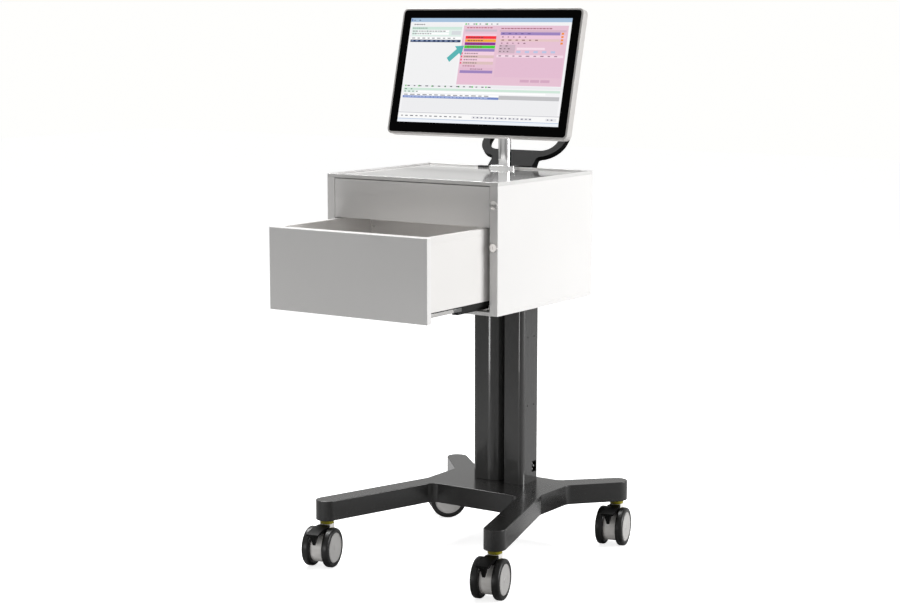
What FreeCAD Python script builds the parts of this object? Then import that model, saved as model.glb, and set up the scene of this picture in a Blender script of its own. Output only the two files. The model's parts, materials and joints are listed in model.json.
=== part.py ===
"""Medication cart: a two-drawer cabinet on a column, with a tilting monitor, a push handle,
a four-legged base and twin-wheel casters. Millimetres, X right, Y back, Z up, floor at Z = 0."""
import math
import os

import FreeCAD
import Part
import Sketcher

doc = FreeCAD.newDocument("cart")
V = FreeCAD.Vector

# Every size that can be set by itself.
SIZES = {
    "cab_w": 500, "cab_d": 440, "cab_z": 672, "cab_h": 316, "cab_back": 155.5,
    "skin_t": 9, "side_t": 22, "rear_t": 12, "rim_t": 8, "rim_h": 4,
    "front_t": 16, "front_gap": 1, "front_air": 2, "upper_share": 108,
    "box_gap": 9, "box_rear": 38, "box_wall": 12, "box_floor": 5, "vent_r": 2.5, "seam_h": 1.2,
    "low_box_up": 35, "up_box_up": 25, "up_box_h": 62, "low_open": 256,
    "chan_in": 25, "chan_half": 12, "chan_rear": 20, "chan_up": 3.5, "chan_h": 14, "sheet_t": 1.5,
    "mid_less": 4, "rail_h": 34, "rail_up": 13,
    "lock_up_drop": 53.5, "lock_low_drop": 45.5, "lock_r": 11, "barrel_r": 8, "fit": 0.05,
    "col_half": 77, "col_front": 106.5, "col_seam": 149.5, "col_back": 180,
    "lobe_x": -33, "lobe_r": 38, "slot_x": 21, "col_r": 13,
    "back_half": 66.5, "back_gap": 0.5, "back_drop": 16,
    "inlet_y": 165.3, "inlet_up": 39.8, "inlet_pitch": 40, "inlet_wide": 10.2, "inlet_tall": 14.2,
    "inlet_air": 0.3, "wall_t": 2, "flange_wide": 12, "flange_tall": 25, "flange_t": 3,
    "sink_r": 1.8, "sink_hole_r": 1.5, "rail_hole_r": 2.1,
    "hole_y": 131.7, "hole_dy": 30.4, "hole_up": 205.5, "hole_dz": 180,
    "base_t": 50.9, "hub_half": 176, "hub_front": 0.5, "hub_back": 211,
    "cast_x": 252.5, "cast_y": 295.5, "tip_r": 27.7, "front_ang": 17.5, "rear_ang": 46,
    "out_y": 38.7, "in_x": 131, "knee_y": 170, "far_x": 127, "web_r": 26,
    "cover_in": 24, "cover_lip": 10, "cover_t": 3, "screw_r": 2,
    "wheel_r": 50, "wheel_w": 20, "gap_half": 16.85, "tyre_t": 12, "trail": 29.8, "stub_r": 8,
    "stem_r": 5.5, "lip_r": 8, "ring_r": 17.7, "ring_h": 10.3, "ring_air": 4,
    "swivel": 13.3, "rear_left": -46,
    "pedal_air": 0.85, "pedal_up": 6, "pivot_y": -24, "pivot_r": 3,
    "foot_w": 72, "foot_d": 36, "foot_h": 8, "foot_air": 0.3,
    "mast_in": 18, "mast_r": 16.5, "mast_up": 274, "mast_wall": 2.5,
    "mon_w": 539, "mon_h": 328, "mon_t": 22, "mon_ahead": 104.4, "mon_up": 247.1, "mon_tilt": 14.1,
    "glass_edge": 5, "glass_t": 3, "glass_air": 0.3, "mon_low": 2.4, "shell_t": 24,
    "plate_half": 59, "plate_t": 4, "plate_hole_in": 9,
    "hinge_off": 22, "hinge_r": 9, "arm_in": 21, "arm_w": 9, "arm_air": 0.3, "pin_r": 4,
    "grip_half": 125, "grip_low": 35, "grip_high": 165, "grip_r": 59, "band": 22, "grip_t": 14,
    "grip_tilt": 42, "neck_r": 12, "grip_in": 13.5, "grip_drop": 3, "tab_drop": 73, "tab_t": 7,
}

# Places and lengths that follow from those sizes, each a sum.
TIES = {
    "cab_front": "cab_back - cab_d",
    "cab_top": "cab_z + cab_h",
    "bed_z": "cab_z + skin_t",
    "split_z": "cab_top - upper_share",
    "low_box_z": "cab_z + low_box_up",
    "up_box_z": "split_z + up_box_up",
    "box_len": "cab_d - front_t - rear_t - box_rear",
    "chan_len": "cab_d - front_t - rear_t - chan_rear",
    "chan_z": "bed_z + chan_up",
    "mid_len": "box_len - mid_less",
    "rail_z": "up_box_z + rail_up",
    "lock_up_z": "cab_top - lock_up_drop",
    "lock_low_z": "split_z - lock_low_drop",
    "back_top": "cab_top - back_drop",
    "cap_r": "wheel_r - tyre_t",
    "ring_z": "wheel_r + wheel_r + ring_air",
    "leg_z": "ring_z + ring_h",
    "base_top": "leg_z + base_t",
    "inlet_z": "base_top + inlet_up",
    "hole_low": "base_top + hole_up",
    "pivot_z": "wheel_r + cap_r + pedal_up",
    "pedal_half": "gap_half - pedal_air",
    "mast_y": "cab_back - mast_in",
    "mast_top": "cab_top + mast_up",
    "mon_y": "mast_y - mon_ahead",
    "mon_z": "cab_top + mon_up",
    "hinge_back": "mon_t + shell_t + hinge_off",
    "grip_y": "col_back - grip_in",
    "grip_z": "cab_top - grip_drop",
    "tab_low": "cab_top - tab_drop",
}

sheet = doc.addObject("Spreadsheet::Sheet", "sizes")
for row, (alias, value) in enumerate(SIZES.items(), start=1):
    sheet.set("A%d" % row, alias)
    sheet.set("B%d" % row, str(value))
    sheet.setAlias("B%d" % row, alias)
doc.recompute()


def size(name):
    """The number for a size in the sheet, or for a place that is tied to such sizes."""
    if name in SIZES:
        return float(sheet.get(name))
    total, sign = 0.0, 1
    for word in TIES[name].split():
        if word in ("+", "-"):
            sign = 1 if word == "+" else -1
        else:
            total += sign * size(word)
    return total


def bind(text):
    """An expression on the sheet's aliases, with each tied place written out as its sum."""
    words = []
    word = ""
    for letter in text + " ":
        if letter.isalnum() or letter in "_.":
            word += letter
            continue
        if word in SIZES:
            word = "sizes." + word
        elif word in TIES:
            word = "(" + bind(TIES[word]) + ")"
        words += [word, letter]
        word = ""
    return "".join(words).strip()


def new_body(label):
    body = doc.addObject("PartDesign::Body", label)
    body.Label = label
    return body


def plane(body, role):
    return [f for f in body.Origin.OriginFeatures if f.Role == role + "_Plane"][0]


def new_sketch(body, role="XY", lift="0"):
    """A sketch on one of the body's own planes, lifted along that plane's normal."""
    sketch = body.newObject("Sketcher::SketchObject", body.Name + "_sketch")
    sketch.AttachmentSupport = [(plane(body, role), "")]
    sketch.MapMode = "FlatFace"
    sketch.setExpression("AttachmentOffset.Base.z", bind(lift))
    return sketch


def hold_point(sketch, geo, pos, px, py):
    """Ties one point of a sketch to two expressions, measured from the sketch's origin."""
    spot = sketch.getPoint(geo, pos)
    for kind, text, start in (("DistanceX", px, spot.x), ("DistanceY", py, spot.y)):
        index = sketch.addConstraint(Sketcher.Constraint(kind, -1, 1, geo, pos, start))
        sketch.setExpression("Constraints[%d]" % index, bind(text))


def add_loop(sketch, points):
    """A closed loop of straight lines through points given as pairs of expressions."""
    count = len(points)
    first = sketch.GeometryCount
    ring = [V(10 * math.cos(6.283 * i / count), 10 * math.sin(6.283 * i / count), 0) for i in range(count)]
    for i in range(count):
        sketch.addGeometry(Part.LineSegment(ring[i], ring[(i + 1) % count]), False)
    for i in range(count):
        nxt = first + (i + 1) % count
        sketch.addConstraint(Sketcher.Constraint("Coincident", first + i, 2, nxt, 1))
    for i, (px, py) in enumerate(points):
        hold_point(sketch, first + i, 1, px, py)


def add_box(sketch, x0, y0, x1, y1):
    add_loop(sketch, [(x0, y0), (x1, y0), (x1, y1), (x0, y1)])


def add_circle(sketch, px, py, radius):
    geo = sketch.addGeometry(Part.Circle(V(1, 1, 0), V(0, 0, 1), 3), False)
    index = sketch.addConstraint(Sketcher.Constraint("Radius", geo, 3.0))
    sketch.setExpression("Constraints[%d]" % index, bind(radius))
    hold_point(sketch, geo, 3, px, py)


def pad(body, sketch, length, back=False, middle=False):
    feature = body.newObject("PartDesign::Pad", body.Name + "_pad")
    feature.Profile = sketch
    feature.Reversed = back
    feature.Midplane = middle
    feature.setExpression("Length", bind(length))
    return settle(body, feature)


def pocket(body, sketch, length, back=False, middle=False):
    """Cuts against the sketch's normal, or along it when back is set; checks that it removed stock."""
    before = body.Shape.Volume
    feature = body.newObject("PartDesign::Pocket", body.Name + "_pocket")
    feature.Profile = sketch
    feature.Reversed = back
    feature.Midplane = middle
    feature.setExpression("Length", bind(length))
    settle(body, feature)
    if body.Shape.Volume > before - 0.01:
        raise RuntimeError(body.Label + ": a pocket removed nothing")
    return feature


def turn(body, sketch, axis="H_Axis"):
    feature = body.newObject("PartDesign::Revolution", body.Name + "_turn")
    feature.Profile = sketch
    feature.ReferenceAxis = (sketch, [axis])
    feature.Angle = 360
    return settle(body, feature)


def settle(body, feature):
    body.Tip = feature
    doc.recompute()
    if "Invalid" in feature.State or "Error" in feature.State or feature.Shape.isNull():
        raise RuntimeError(body.Label + ": " + feature.Name + " failed")
    return feature


def edges_where(shape, test):
    names = []
    for i, edge in enumerate(shape.Edges):
        mid = edge.valueAt((edge.FirstParameter + edge.LastParameter) / 2)
        if test(edge, mid):
            names.append("Edge%d" % (i + 1))
    return names


def soften(body, radius, test, kind="Fillet"):
    """Fillets or chamfers the tip's edges that pass the test."""
    base = body.Tip
    names = edges_where(base.Shape, test)
    if not names:
        raise RuntimeError(body.Label + ": no edge to soften")
    feature = body.newObject("PartDesign::" + kind, body.Name + "_" + kind.lower())
    feature.Base = (base, names)
    feature.setExpression("Radius" if kind == "Fillet" else "Size", bind(radius))
    return settle(body, feature)


def along(edge, axis):
    if edge.Curve.TypeId != "Part::GeomLine":
        return False
    direction = edge.Vertexes[-1].Point.sub(edge.Vertexes[0].Point)
    return direction.Length > 0.01 and abs(direction.normalize().dot(axis)) > 0.999


X_AXIS, Y_AXIS, Z_AXIS = V(1, 0, 0), V(0, 1, 0), V(0, 0, 1)


def upright_at(x, y):
    """A test for the vertical edge that stands at one point of the plan."""
    return lambda edge, mid: along(edge, Z_AXIS) and abs(mid.x - x) < 0.1 and abs(mid.y - y) < 0.1


def block(label, x0, y0, z0, x1, y1, z1):
    """A plain block between two corners, each given as expressions."""
    body = new_body(label)
    sketch = new_sketch(body, "XY", z0)
    add_box(sketch, x0, y0, x1, y1)
    pad(body, sketch, "(%s) - (%s)" % (z1, z0))
    return body


def join_solids(label, shapes):
    """Several identical separate solids kept in one node."""
    feature = doc.addObject("Part::Feature", label)
    feature.Label = label
    feature.Shape = Part.makeCompound(shapes)
    feature.Placement = FreeCAD.Placement()
    return feature


def make_base_casting():
    body = new_body("base_casting")
    sketch = new_sketch(body, "XY", "leg_z")
    right = [
        ("in_x", "hub_front"),
        ("cast_x - tip_r * cos(front_ang)", "-cast_y - tip_r * sin(front_ang)"),
        ("cast_x + tip_r * cos(front_ang)", "-cast_y + tip_r * sin(front_ang)"),
        ("hub_half", "out_y"),
        ("hub_half", "knee_y"),
        ("cast_x + tip_r * sin(rear_ang)", "cast_y - tip_r * cos(rear_ang)"),
        ("cast_x - tip_r * sin(rear_ang)", "cast_y + tip_r * cos(rear_ang)"),
        ("far_x", "hub_back"),
    ]
    left = [("-(%s)" % px, py) for px, py in reversed(right)]
    add_loop(sketch, right + left)
    pad(body, sketch, "base_t")
    for sx in ("", "-"):
        for sy in ("", "-"):
            sketch = new_sketch(body, "XY", "leg_z")
            add_circle(sketch, sx + "cast_x", sy + "cast_y", "tip_r")
            pad(body, sketch, "base_t")
    knees = [
        (size("in_x"), size("hub_front")), (size("hub_half"), size("out_y")),
        (size("hub_half"), size("knee_y")), (size("far_x"), size("hub_back")),
    ]

    def at_knee(edge, mid):
        return along(edge, Z_AXIS) and any(
            abs(abs(mid.x) - kx) < 0.5 and abs(mid.y - ky) < 0.5 for kx, ky in knees)

    soften(body, "web_r", at_knee)
    top = size("base_top")
    low = size("leg_z")
    soften(body, "1.5", lambda e, m: abs(m.z - top) < 0.01)
    soften(body, "1", lambda e, m: abs(m.z - low) < 0.01, "Chamfer")
    sketch = new_sketch(body, "XY", "leg_z")
    for sx in ("", "-"):
        for sy in ("", "-"):
            add_circle(sketch, sx + "cast_x", sy + "cast_y", "stem_r")
    pocket(body, sketch, "30", back=True)
    for inset, depth in (("cover_in", "cover_t + 0.5"), ("(cover_in + cover_lip)", "base_t - 8")):
        sketch = new_sketch(body, "XY", "leg_z")
        add_box(sketch, "-hub_half + " + inset, "hub_front + " + inset,
                "hub_half - " + inset, "hub_back - " + inset)
        pocket(body, sketch, depth, back=True)
    sketch = new_sketch(body, "XY", "leg_z")
    add_cover_holes(sketch, "screw_r")
    pocket(body, sketch, "16", back=True)


def add_cover_holes(sketch, radius):
    """One hole at each corner of the cover, halfway across the lip that it rests on."""
    inset = "(cover_in + cover_lip / 2)"
    for px in ("-hub_half + " + inset, "hub_half - " + inset):
        for py in ("hub_front + " + inset, "hub_back - " + inset):
            add_circle(sketch, px, py, radius)


def make_base_cover():
    inset = "(cover_in + 0.3)"
    body = block("base_cover", "-hub_half + " + inset, "hub_front + " + inset, "leg_z + 0.5",
                 "hub_half - " + inset, "hub_back - " + inset, "leg_z + 0.5 + cover_t")
    sketch = new_sketch(body, "XY", "leg_z")
    add_cover_holes(sketch, "screw_r + 0.25")
    pocket(body, sketch, "10", back=True)


def make_cover_screws():
    solids = []
    face = size("leg_z") + 0.5
    inset = size("cover_in") + size("cover_lip") / 2
    head_h = 2.2
    for px in (-size("hub_half") + inset, size("hub_half") - inset):
        for py in (size("hub_front") + inset, size("hub_back") - inset):
            shank = Part.makeCylinder(size("screw_r"), 10, V(px, py, face), Z_AXIS)
            head = Part.makeCylinder(3.5, head_h, V(px, py, face - head_h), Z_AXIS)
            drive = Part.makeCylinder(1.2, head_h / 2, V(px, py, face - head_h), Z_AXIS)
            solids.append(shank.fuse(head).cut(drive).removeSplitter())
    return join_solids("cover_screws", solids)


def make_column_left():
    body = new_body("column_left")
    sketch = new_sketch(body, "XY", "base_top")
    add_box(sketch, "-col_half", "col_front", "lobe_x + lobe_r", "col_seam - 0.2")
    pad(body, sketch, "cab_z - base_top")
    front = size("col_front")
    inner = size("lobe_x") + size("lobe_r")
    soften(body, "lobe_r", upright_at(inner, front))
    outer = -size("col_half")
    soften(body, "col_r", upright_at(outer, front))
    return body


def make_column_right():
    body = new_body("column_right")
    sketch = new_sketch(body, "XY", "base_top")
    add_box(sketch, "slot_x", "col_front", "col_half", "col_seam - 0.2")
    pad(body, sketch, "cab_z - base_top")
    front = size("col_front")
    outer = size("col_half")
    inner = size("slot_x")
    soften(body, "col_r", upright_at(outer, front))
    soften(body, "2", upright_at(inner, front))
    add_side_holes(body, ["hole_y"])
    return body


def add_side_holes(body, rows):
    """Threaded holes for a side rail, drilled in from the right face."""
    sketch = new_sketch(body, "YZ", "col_half")
    for py in rows:
        for pz in ("hole_low", "hole_low + hole_dz"):
            add_circle(sketch, py, pz, "rail_hole_r")
    pocket(body, sketch, "14")


def make_column_core():
    body = new_body("column_core")
    sketch = new_sketch(body, "XY", "base_top")
    add_box(sketch, "-col_half", "col_seam", "col_half", "col_back")
    pad(body, sketch, "cab_z - base_top")
    back = size("col_back")
    soften(body, "1.5", lambda e, m: along(e, Z_AXIS) and abs(m.y - back) < 0.1)
    sketch = new_sketch(body, "XY", "cab_z")
    add_box(sketch, "-back_half", "cab_back + back_gap", "back_half", "col_back")
    pad(body, sketch, "back_top - cab_z")
    for lift, wide, tall, depth in (("col_half", "inlet_wide", "inlet_tall", "30"),
                                    ("col_half - wall_t", "flange_wide", "flange_tall", "flange_t + 0.2")):
        sketch = new_sketch(body, "YZ", lift)
        add_inlet_box(sketch, "(%s + inlet_air)" % wide, "(%s + inlet_air)" % tall)
        pocket(body, sketch, depth)
    add_side_holes(body, ["hole_y + hole_dy"])
    sketch = new_sketch(body, "YZ", "col_half")
    add_inlet_holes(sketch)
    pocket(body, sketch, "10")
    face, radius = size("col_half"), size("sink_hole_r")
    soften(body, "sink_r", lambda e, m: e.Closed and abs(e.BoundBox.XMin - face) < 0.01
           and abs(e.BoundBox.XMax - face) < 0.01 and abs(e.BoundBox.YLength / 2 - radius) < 0.1, "Chamfer")
    return body


def add_inlet_box(sketch, half_wide, half_tall):
    add_box(sketch, "inlet_y - " + half_wide, "inlet_z - " + half_tall,
            "inlet_y + " + half_wide, "inlet_z + " + half_tall)


def add_inlet_holes(sketch):
    for sign in ("-", "+"):
        add_circle(sketch, "inlet_y", "inlet_z %s inlet_pitch / 2" % sign, "sink_hole_r")


def make_power_inlet():
    """Three-pin appliance inlet, flush in the column's right face, with its flange behind the wall."""
    body = new_body("power_inlet")
    sketch = new_sketch(body, "YZ", "col_half - wall_t")
    add_inlet_box(sketch, "flange_wide", "flange_tall")
    pad(body, sketch, "flange_t", back=True)
    soften(body, "5", lambda e, m: along(e, X_AXIS))
    sketch = new_sketch(body, "YZ", "col_half")
    add_inlet_box(sketch, "inlet_wide", "inlet_tall")
    pad(body, sketch, "24", back=True)
    sketch = new_sketch(body, "YZ", "col_half")
    left, right, bevel = "inlet_y - 8.8", "inlet_y + 8.8", "inlet_y + 4.6"
    add_loop(sketch, [
        (left, "inlet_z - 12.8"), (bevel, "inlet_z - 12.8"), (right, "inlet_z - 8.6"),
        (right, "inlet_z + 8.6"), (bevel, "inlet_z + 12.8"), (left, "inlet_z + 12.8"),
    ])
    pocket(body, sketch, "16")
    pins = (("inlet_y + 3.5", "inlet_z"), ("inlet_y - 3.5", "inlet_z + 7"), ("inlet_y - 3.5", "inlet_z - 7"))
    for py, pz in pins:
        sketch = new_sketch(body, "YZ", "col_half - 17")
        add_box(sketch, "(%s) - 1" % py, "(%s) - 2" % pz, "(%s) + 1" % py, "(%s) + 2" % pz)
        pad(body, sketch, "14")
    sketch = new_sketch(body, "YZ", "col_half")
    add_inlet_holes(sketch)
    pocket(body, sketch, "wall_t + flange_t + 1")
    return body


def make_inlet_screws():
    """Countersunk screws through the column's wall into the inlet's flange."""
    solids = []
    face, slack = size("col_half"), size("fit")
    thin, sink = size("sink_hole_r") - slack, size("sink_r")
    for sign in (-1, 1):
        py, pz = size("inlet_y"), size("inlet_z") + sign * size("inlet_pitch") / 2
        shank = Part.makeCylinder(thin, 9, V(face - 9, py, pz), X_AXIS)
        head = Part.makeCone(thin, thin + sink, sink, V(face - sink, py, pz), X_AXIS)
        bar = Part.makeBox(2, 3.4, 0.8, V(face - 1, py - 1.7, pz - 0.4))
        post = Part.makeBox(2, 0.8, 3.4, V(face - 1, py - 0.4, pz - 1.7))
        solids.append(shank.fuse(head).cut(bar).cut(post).removeSplitter())
    return join_solids("inlet_screws", solids)


def make_cabinet():
    """Five panels: floor, two sides, back, and a top with a shallow tray sunk into it."""
    low = "bed_z"
    high = "cab_top - skin_t"
    floor = block("cabinet_bottom", "-cab_w / 2", "cab_front", "cab_z", "cab_w / 2", "cab_back", low)
    soften(floor, "1", lambda e, m: abs(m.z - size("cab_z")) < 0.01)
    for label, sign in (("cabinet_side_left", "-"), ("cabinet_side_right", "")):
        side = new_body(label)
        sketch = new_sketch(side, "XY", low)
        add_box(sketch, sign + "cab_w / 2", "cab_front", sign + "(cab_w / 2 - side_t)", "cab_back")
        pad(side, sketch, "cab_h - 2 * skin_t")
        outer = size("cab_w") / 2
        soften(side, "1", lambda e, m: along(e, Z_AXIS) and abs(abs(m.x) - outer) < 0.1)
        if sign == "":
            sketch = new_sketch(side, "XZ", "-cab_front")
            for pz in ("lock_up_z", "lock_low_z"):
                add_circle(sketch, "cab_w / 2 - side_t / 2", pz, "barrel_r")
            pocket(side, sketch, "24")
    block("cabinet_back", "-cab_w / 2 + side_t", "cab_back - rear_t", low,
          "cab_w / 2 - side_t", "cab_back", high)
    top = block("cabinet_top", "-cab_w / 2", "cab_front", high, "cab_w / 2", "cab_back", "cab_top")
    soften(top, "1.5", lambda e, m: along(e, Z_AXIS))
    sketch = new_sketch(top, "XY", "cab_top")
    add_box(sketch, "-cab_w / 2 + rim_t", "cab_front + rim_t", "cab_w / 2 - rim_t", "cab_back - rim_t")
    pocket(top, sketch, "rim_h")
    soften(top, "1", lambda e, m: m.z > size("cab_top") - 0.01)
    cut_foot_gap(top)


def cut_foot_gap(top):
    """A gap in the tray's rear rim, where the mast's foot stands."""
    sketch = new_sketch(top, "XY", "cab_top")
    add_box(sketch, "-foot_w / 2 - foot_air", "mast_y - foot_d / 2", "foot_w / 2 + foot_air", "cab_back")
    pocket(top, sketch, "rim_h")


def make_drawer(prefix, box_z, box_h, front_low, front_high, shift):
    """A front panel and an open box behind it, drawn closed and then moved forward by shift."""
    rest = FreeCAD.Placement(V(0, -shift, 0), FreeCAD.Rotation())
    front = block(prefix + "_drawer_front", "-cab_w / 2 + side_t + front_gap", "cab_front", front_low,
                  "cab_w / 2 - side_t - front_gap", "cab_front + front_t", front_high)
    soften(front, "1", lambda e, m: abs(m.y - size("cab_front")) < 0.01)
    front.Placement = rest
    half = "(cab_w / 2 - side_t - box_gap)"
    y0 = "cab_front + front_t"
    top_z = "(%s) + (%s)" % (box_z, box_h)
    box = block(prefix + "_drawer_box", "-" + half, y0, box_z, half, y0 + " + box_len", top_z)
    sketch = new_sketch(box, "XY", top_z)
    add_box(sketch, "-%s + box_wall" % half, y0 + " + box_wall", half + " - box_wall",
            y0 + " + box_len - box_wall")
    pocket(box, sketch, "(%s) - box_floor" % box_h)
    top = box.Shape.BoundBox.ZMax
    soften(box, "1", lambda e, m: abs(m.z - top) < 0.01)
    sketch = new_sketch(box, "XZ", "-(%s)" % y0 + " - box_len")
    add_circle(sketch, "-%s + box_wall + 9" % half, top_z + " - 30", "vent_r")
    pocket(box, sketch, "box_wall + 1", back=True)
    if prefix == "lower":
        for sign in ("-", ""):
            sketch = new_sketch(box, "XY", top_z + " - 15")
            add_box(sketch, sign + half, y0, "%s(%s - 0.8)" % (sign, half), y0 + " + box_len")
            pocket(box, sketch, "seam_h")
    box.Placement = rest


def mirrored(shape):
    return shape.mirror(V(0, 0, 0), X_AXIS)


def prism(points, y0, length):
    """An extrusion along Y of a closed outline of (x, z) points."""
    wire = Part.makePolygon([V(px, y0, pz) for px, pz in points + points[:1]])
    return Part.Face(wire).extrude(V(0, length, 0))


def rail_pair(label, points, y0, length, shift):
    """The same rail on the left and right, as two solids of one node."""
    shape = prism(points, y0, length)
    feature = join_solids(label, [shape, mirrored(shape)])
    feature.Placement = FreeCAD.Placement(V(0, -shift, 0), FreeCAD.Rotation())
    return feature


def make_lower_slides():
    """Rails under the lower drawer: a channel, a telescoping middle beam and a cap on the drawer."""
    cx, half, t = size("cab_w") / 2 - size("side_t") - size("chan_in"), size("chan_half"), size("sheet_t")
    z0, z1 = size("chan_z"), size("chan_z") + size("chan_h")
    bed = size("bed_z")
    y0 = size("cab_front") + size("front_t") + 1
    channel = [
        (cx - half, z1), (cx - half, z0), (cx - 6, z0), (cx - 6, bed), (cx + 6, bed), (cx + 6, z0),
        (cx + half, z0), (cx + half, z1), (cx + half - t, z1), (cx + half - t, z0 + t),
        (cx - half + t, z0 + t), (cx - half + t, z1),
    ]
    rail_pair("lower_slide_fixed", channel, y0, size("chan_len"), 0)
    beam = [
        (cx - 8, z0 + t + 0.5), (cx + 8, z0 + t + 0.5), (cx + 8, z1 + 3), (cx + 5, z1 + 3),
        (cx + 5, z0 + t + 3.5), (cx - 5, z0 + t + 3.5), (cx - 5, z1 + 3), (cx - 8, z1 + 3),
    ]
    rail_pair("lower_slide_mid", beam, y0 + 2, size("mid_len"), size("low_open") / 2)
    top = size("low_box_z")
    wide, inner, skirt = half + 2 * t, half + t, z1 - 3
    cap = [
        (cx - wide, top), (cx - wide, skirt), (cx - inner, skirt), (cx - inner, top - 2),
        (cx + inner, top - 2), (cx + inner, skirt), (cx + wide, skirt), (cx + wide, top),
    ]
    rail_pair("lower_slide_drawer", cap, y0, size("box_len") - 6, size("low_open"))


def make_upper_slides():
    """Three-part runners between the upper drawer's box and the cabinet's sides."""
    inside = size("cab_w") / 2 - size("side_t")
    outside = inside - size("box_gap")
    step = size("box_gap") / 3
    z0, high = size("rail_z"), size("rail_h")
    y0 = size("cab_front") + size("front_t") + 4

    def strip(x0, x1, low, top):
        return [(x0, low), (x1, low), (x1, top), (x0, top)]

    fixed = [
        (inside, z0), (inside, z0 + high), (inside - step, z0 + high), (inside - step, z0 + high - 3),
        (inside - 1.2, z0 + high - 3), (inside - 1.2, z0 + 3), (inside - step, z0 + 3), (inside - step, z0),
    ]
    rail_pair("upper_slide_fixed", fixed, y0, size("mid_len"), 0)
    rail_pair("upper_slide_mid", strip(outside + step + 0.4, inside - step - 0.4, z0 + 4, z0 + high - 4),
              y0, size("mid_len"), 0)
    rail_pair("upper_slide_drawer", strip(outside, outside + step, z0 + 8, z0 + high - 8),
              y0, size("box_len") - 12, 0)


def make_locks():
    """Round key locks in the right side's front edge."""
    across = size("cab_w") / 2 - size("side_t") / 2
    for label, pz in (("lock_upper", "lock_up_z"), ("lock_lower", "lock_low_z")):
        body = new_body(label)
        sketch = new_sketch(body, "XY")
        add_loop(sketch, [
            ("0", "22"), ("barrel_r - fit", "22"), ("barrel_r - fit", "-0.3"), ("lock_r", "-0.3"),
            ("lock_r", "-2.6"), ("lock_r - 1.6", "-4.2"), ("0", "-4.6"),
        ])
        turn(body, sketch, "V_Axis")
        sketch = new_sketch(body, "XZ", "4.7")
        add_box(sketch, "-0.7", "-3.5", "0.7", "3.5")
        pocket(body, sketch, "3")
        body.Placement = FreeCAD.Placement(V(across, size("cab_front"), size(pz)), FreeCAD.Rotation())


def make_mast():
    floor = "cab_top - rim_h"
    foot = block("mast_foot", "-foot_w / 2", "mast_y - foot_d / 2", floor,
                 "foot_w / 2", "mast_y + foot_d / 2", floor + " + foot_h")
    soften(foot, "6", lambda e, m: along(e, Z_AXIS))
    top = foot.Shape.BoundBox.ZMax
    soften(foot, "1", lambda e, m: abs(m.z - top) < 0.01)
    sketch = new_sketch(foot, "XY", floor + " + foot_h")
    add_circle(sketch, "0", "mast_y", "mast_r")
    pocket(foot, sketch, "foot_h / 2")
    tube = new_body("mast_tube")
    sketch = new_sketch(tube, "XY", floor + " + foot_h / 2")
    add_circle(sketch, "0", "mast_y", "mast_r")
    add_circle(sketch, "0", "mast_y", "mast_r - mast_wall")
    pad(tube, sketch, "mast_top - cab_top + rim_h - foot_h / 2")
    outlet = block("cable_grommet", "-foot_w / 2 - 45", "mast_y - 4", floor,
                   "-foot_w / 2 - 18", "cab_back - rim_t", floor + " + 5")
    soften(outlet, "3", lambda e, m: along(e, Z_AXIS))
    sketch = new_sketch(outlet, "XY", floor + " + 5")
    add_circle(sketch, "-foot_w / 2 - 31.5", "mast_y + 3", "3")
    pocket(outlet, sketch, "4")


def on_monitor(x, y, z):
    """Turns a point of the monitor's own frame, whose face is the plane Y = 0, into the cart's."""
    return monitor_rest().multVec(V(x, y, z))


def monitor_rest():
    spin = FreeCAD.Rotation(X_AXIS, -size("mon_tilt"))
    return FreeCAD.Placement(V(0, size("mon_y"), size("mon_z")), spin)


def make_monitor():
    frame = new_body("monitor_frame")
    sketch = new_sketch(frame, "XZ")
    add_box(sketch, "-mon_w / 2", "-mon_h / 2 - mon_low", "mon_w / 2", "mon_h / 2 - mon_low")
    pad(frame, sketch, "mon_t", back=True)
    soften(frame, "14", lambda e, m: along(e, Y_AXIS))
    sketch = new_sketch(frame, "XZ")
    add_box(sketch, "-mon_w / 2 + glass_edge", "-mon_h / 2 - mon_low + glass_edge",
            "mon_w / 2 - glass_edge", "mon_h / 2 - mon_low - glass_edge")
    pocket(frame, sketch, "glass_t")
    inner = size("mon_w") / 2 - size("glass_edge")
    soften(frame, "9", lambda e, m: along(e, Y_AXIS) and abs(abs(m.x) - inner) < 0.1)
    outer = size("mon_w") / 2
    deep = size("mon_t")
    soften(frame, "2", lambda e, m: abs(m.y) < 0.01 and abs(m.x) > outer - 0.1)
    glass = new_body("monitor_glass")
    sketch = new_sketch(glass, "XZ")
    add_box(sketch, "-mon_w / 2 + glass_edge + glass_air", "-mon_h / 2 - mon_low + glass_edge + glass_air",
            "mon_w / 2 - glass_edge - glass_air", "mon_h / 2 - mon_low - glass_edge - glass_air")
    pad(glass, sketch, "glass_t", back=True)
    soften(glass, "8.7", lambda e, m: along(e, Y_AXIS))
    shell = new_body("monitor_back")
    sketch = new_sketch(shell, "XZ", "-mon_t")
    add_box(sketch, "-mon_w / 2 + 12", "-mon_h / 2 + 10", "mon_w / 2 - 12", "mon_h / 2 - 14")
    pad(shell, sketch, "shell_t", back=True)
    soften(shell, "14", lambda e, m: along(e, Y_AXIS))
    far = shell.Shape.BoundBox.YMax
    soften(shell, "12", lambda e, m: abs(m.y - far) < 0.01, "Chamfer")
    sketch = new_sketch(shell, "XZ", "-mon_t - shell_t")
    for i in range(18):
        px = -153 + 18 * i
        add_box(sketch, "%d" % (px - 2), "mon_h / 2 - 62", "%d" % (px + 2), "mon_h / 2 - 34")
    pocket(shell, sketch, "3", back=True)
    for body in (frame, glass, shell):
        body.Placement = monitor_rest()


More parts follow.
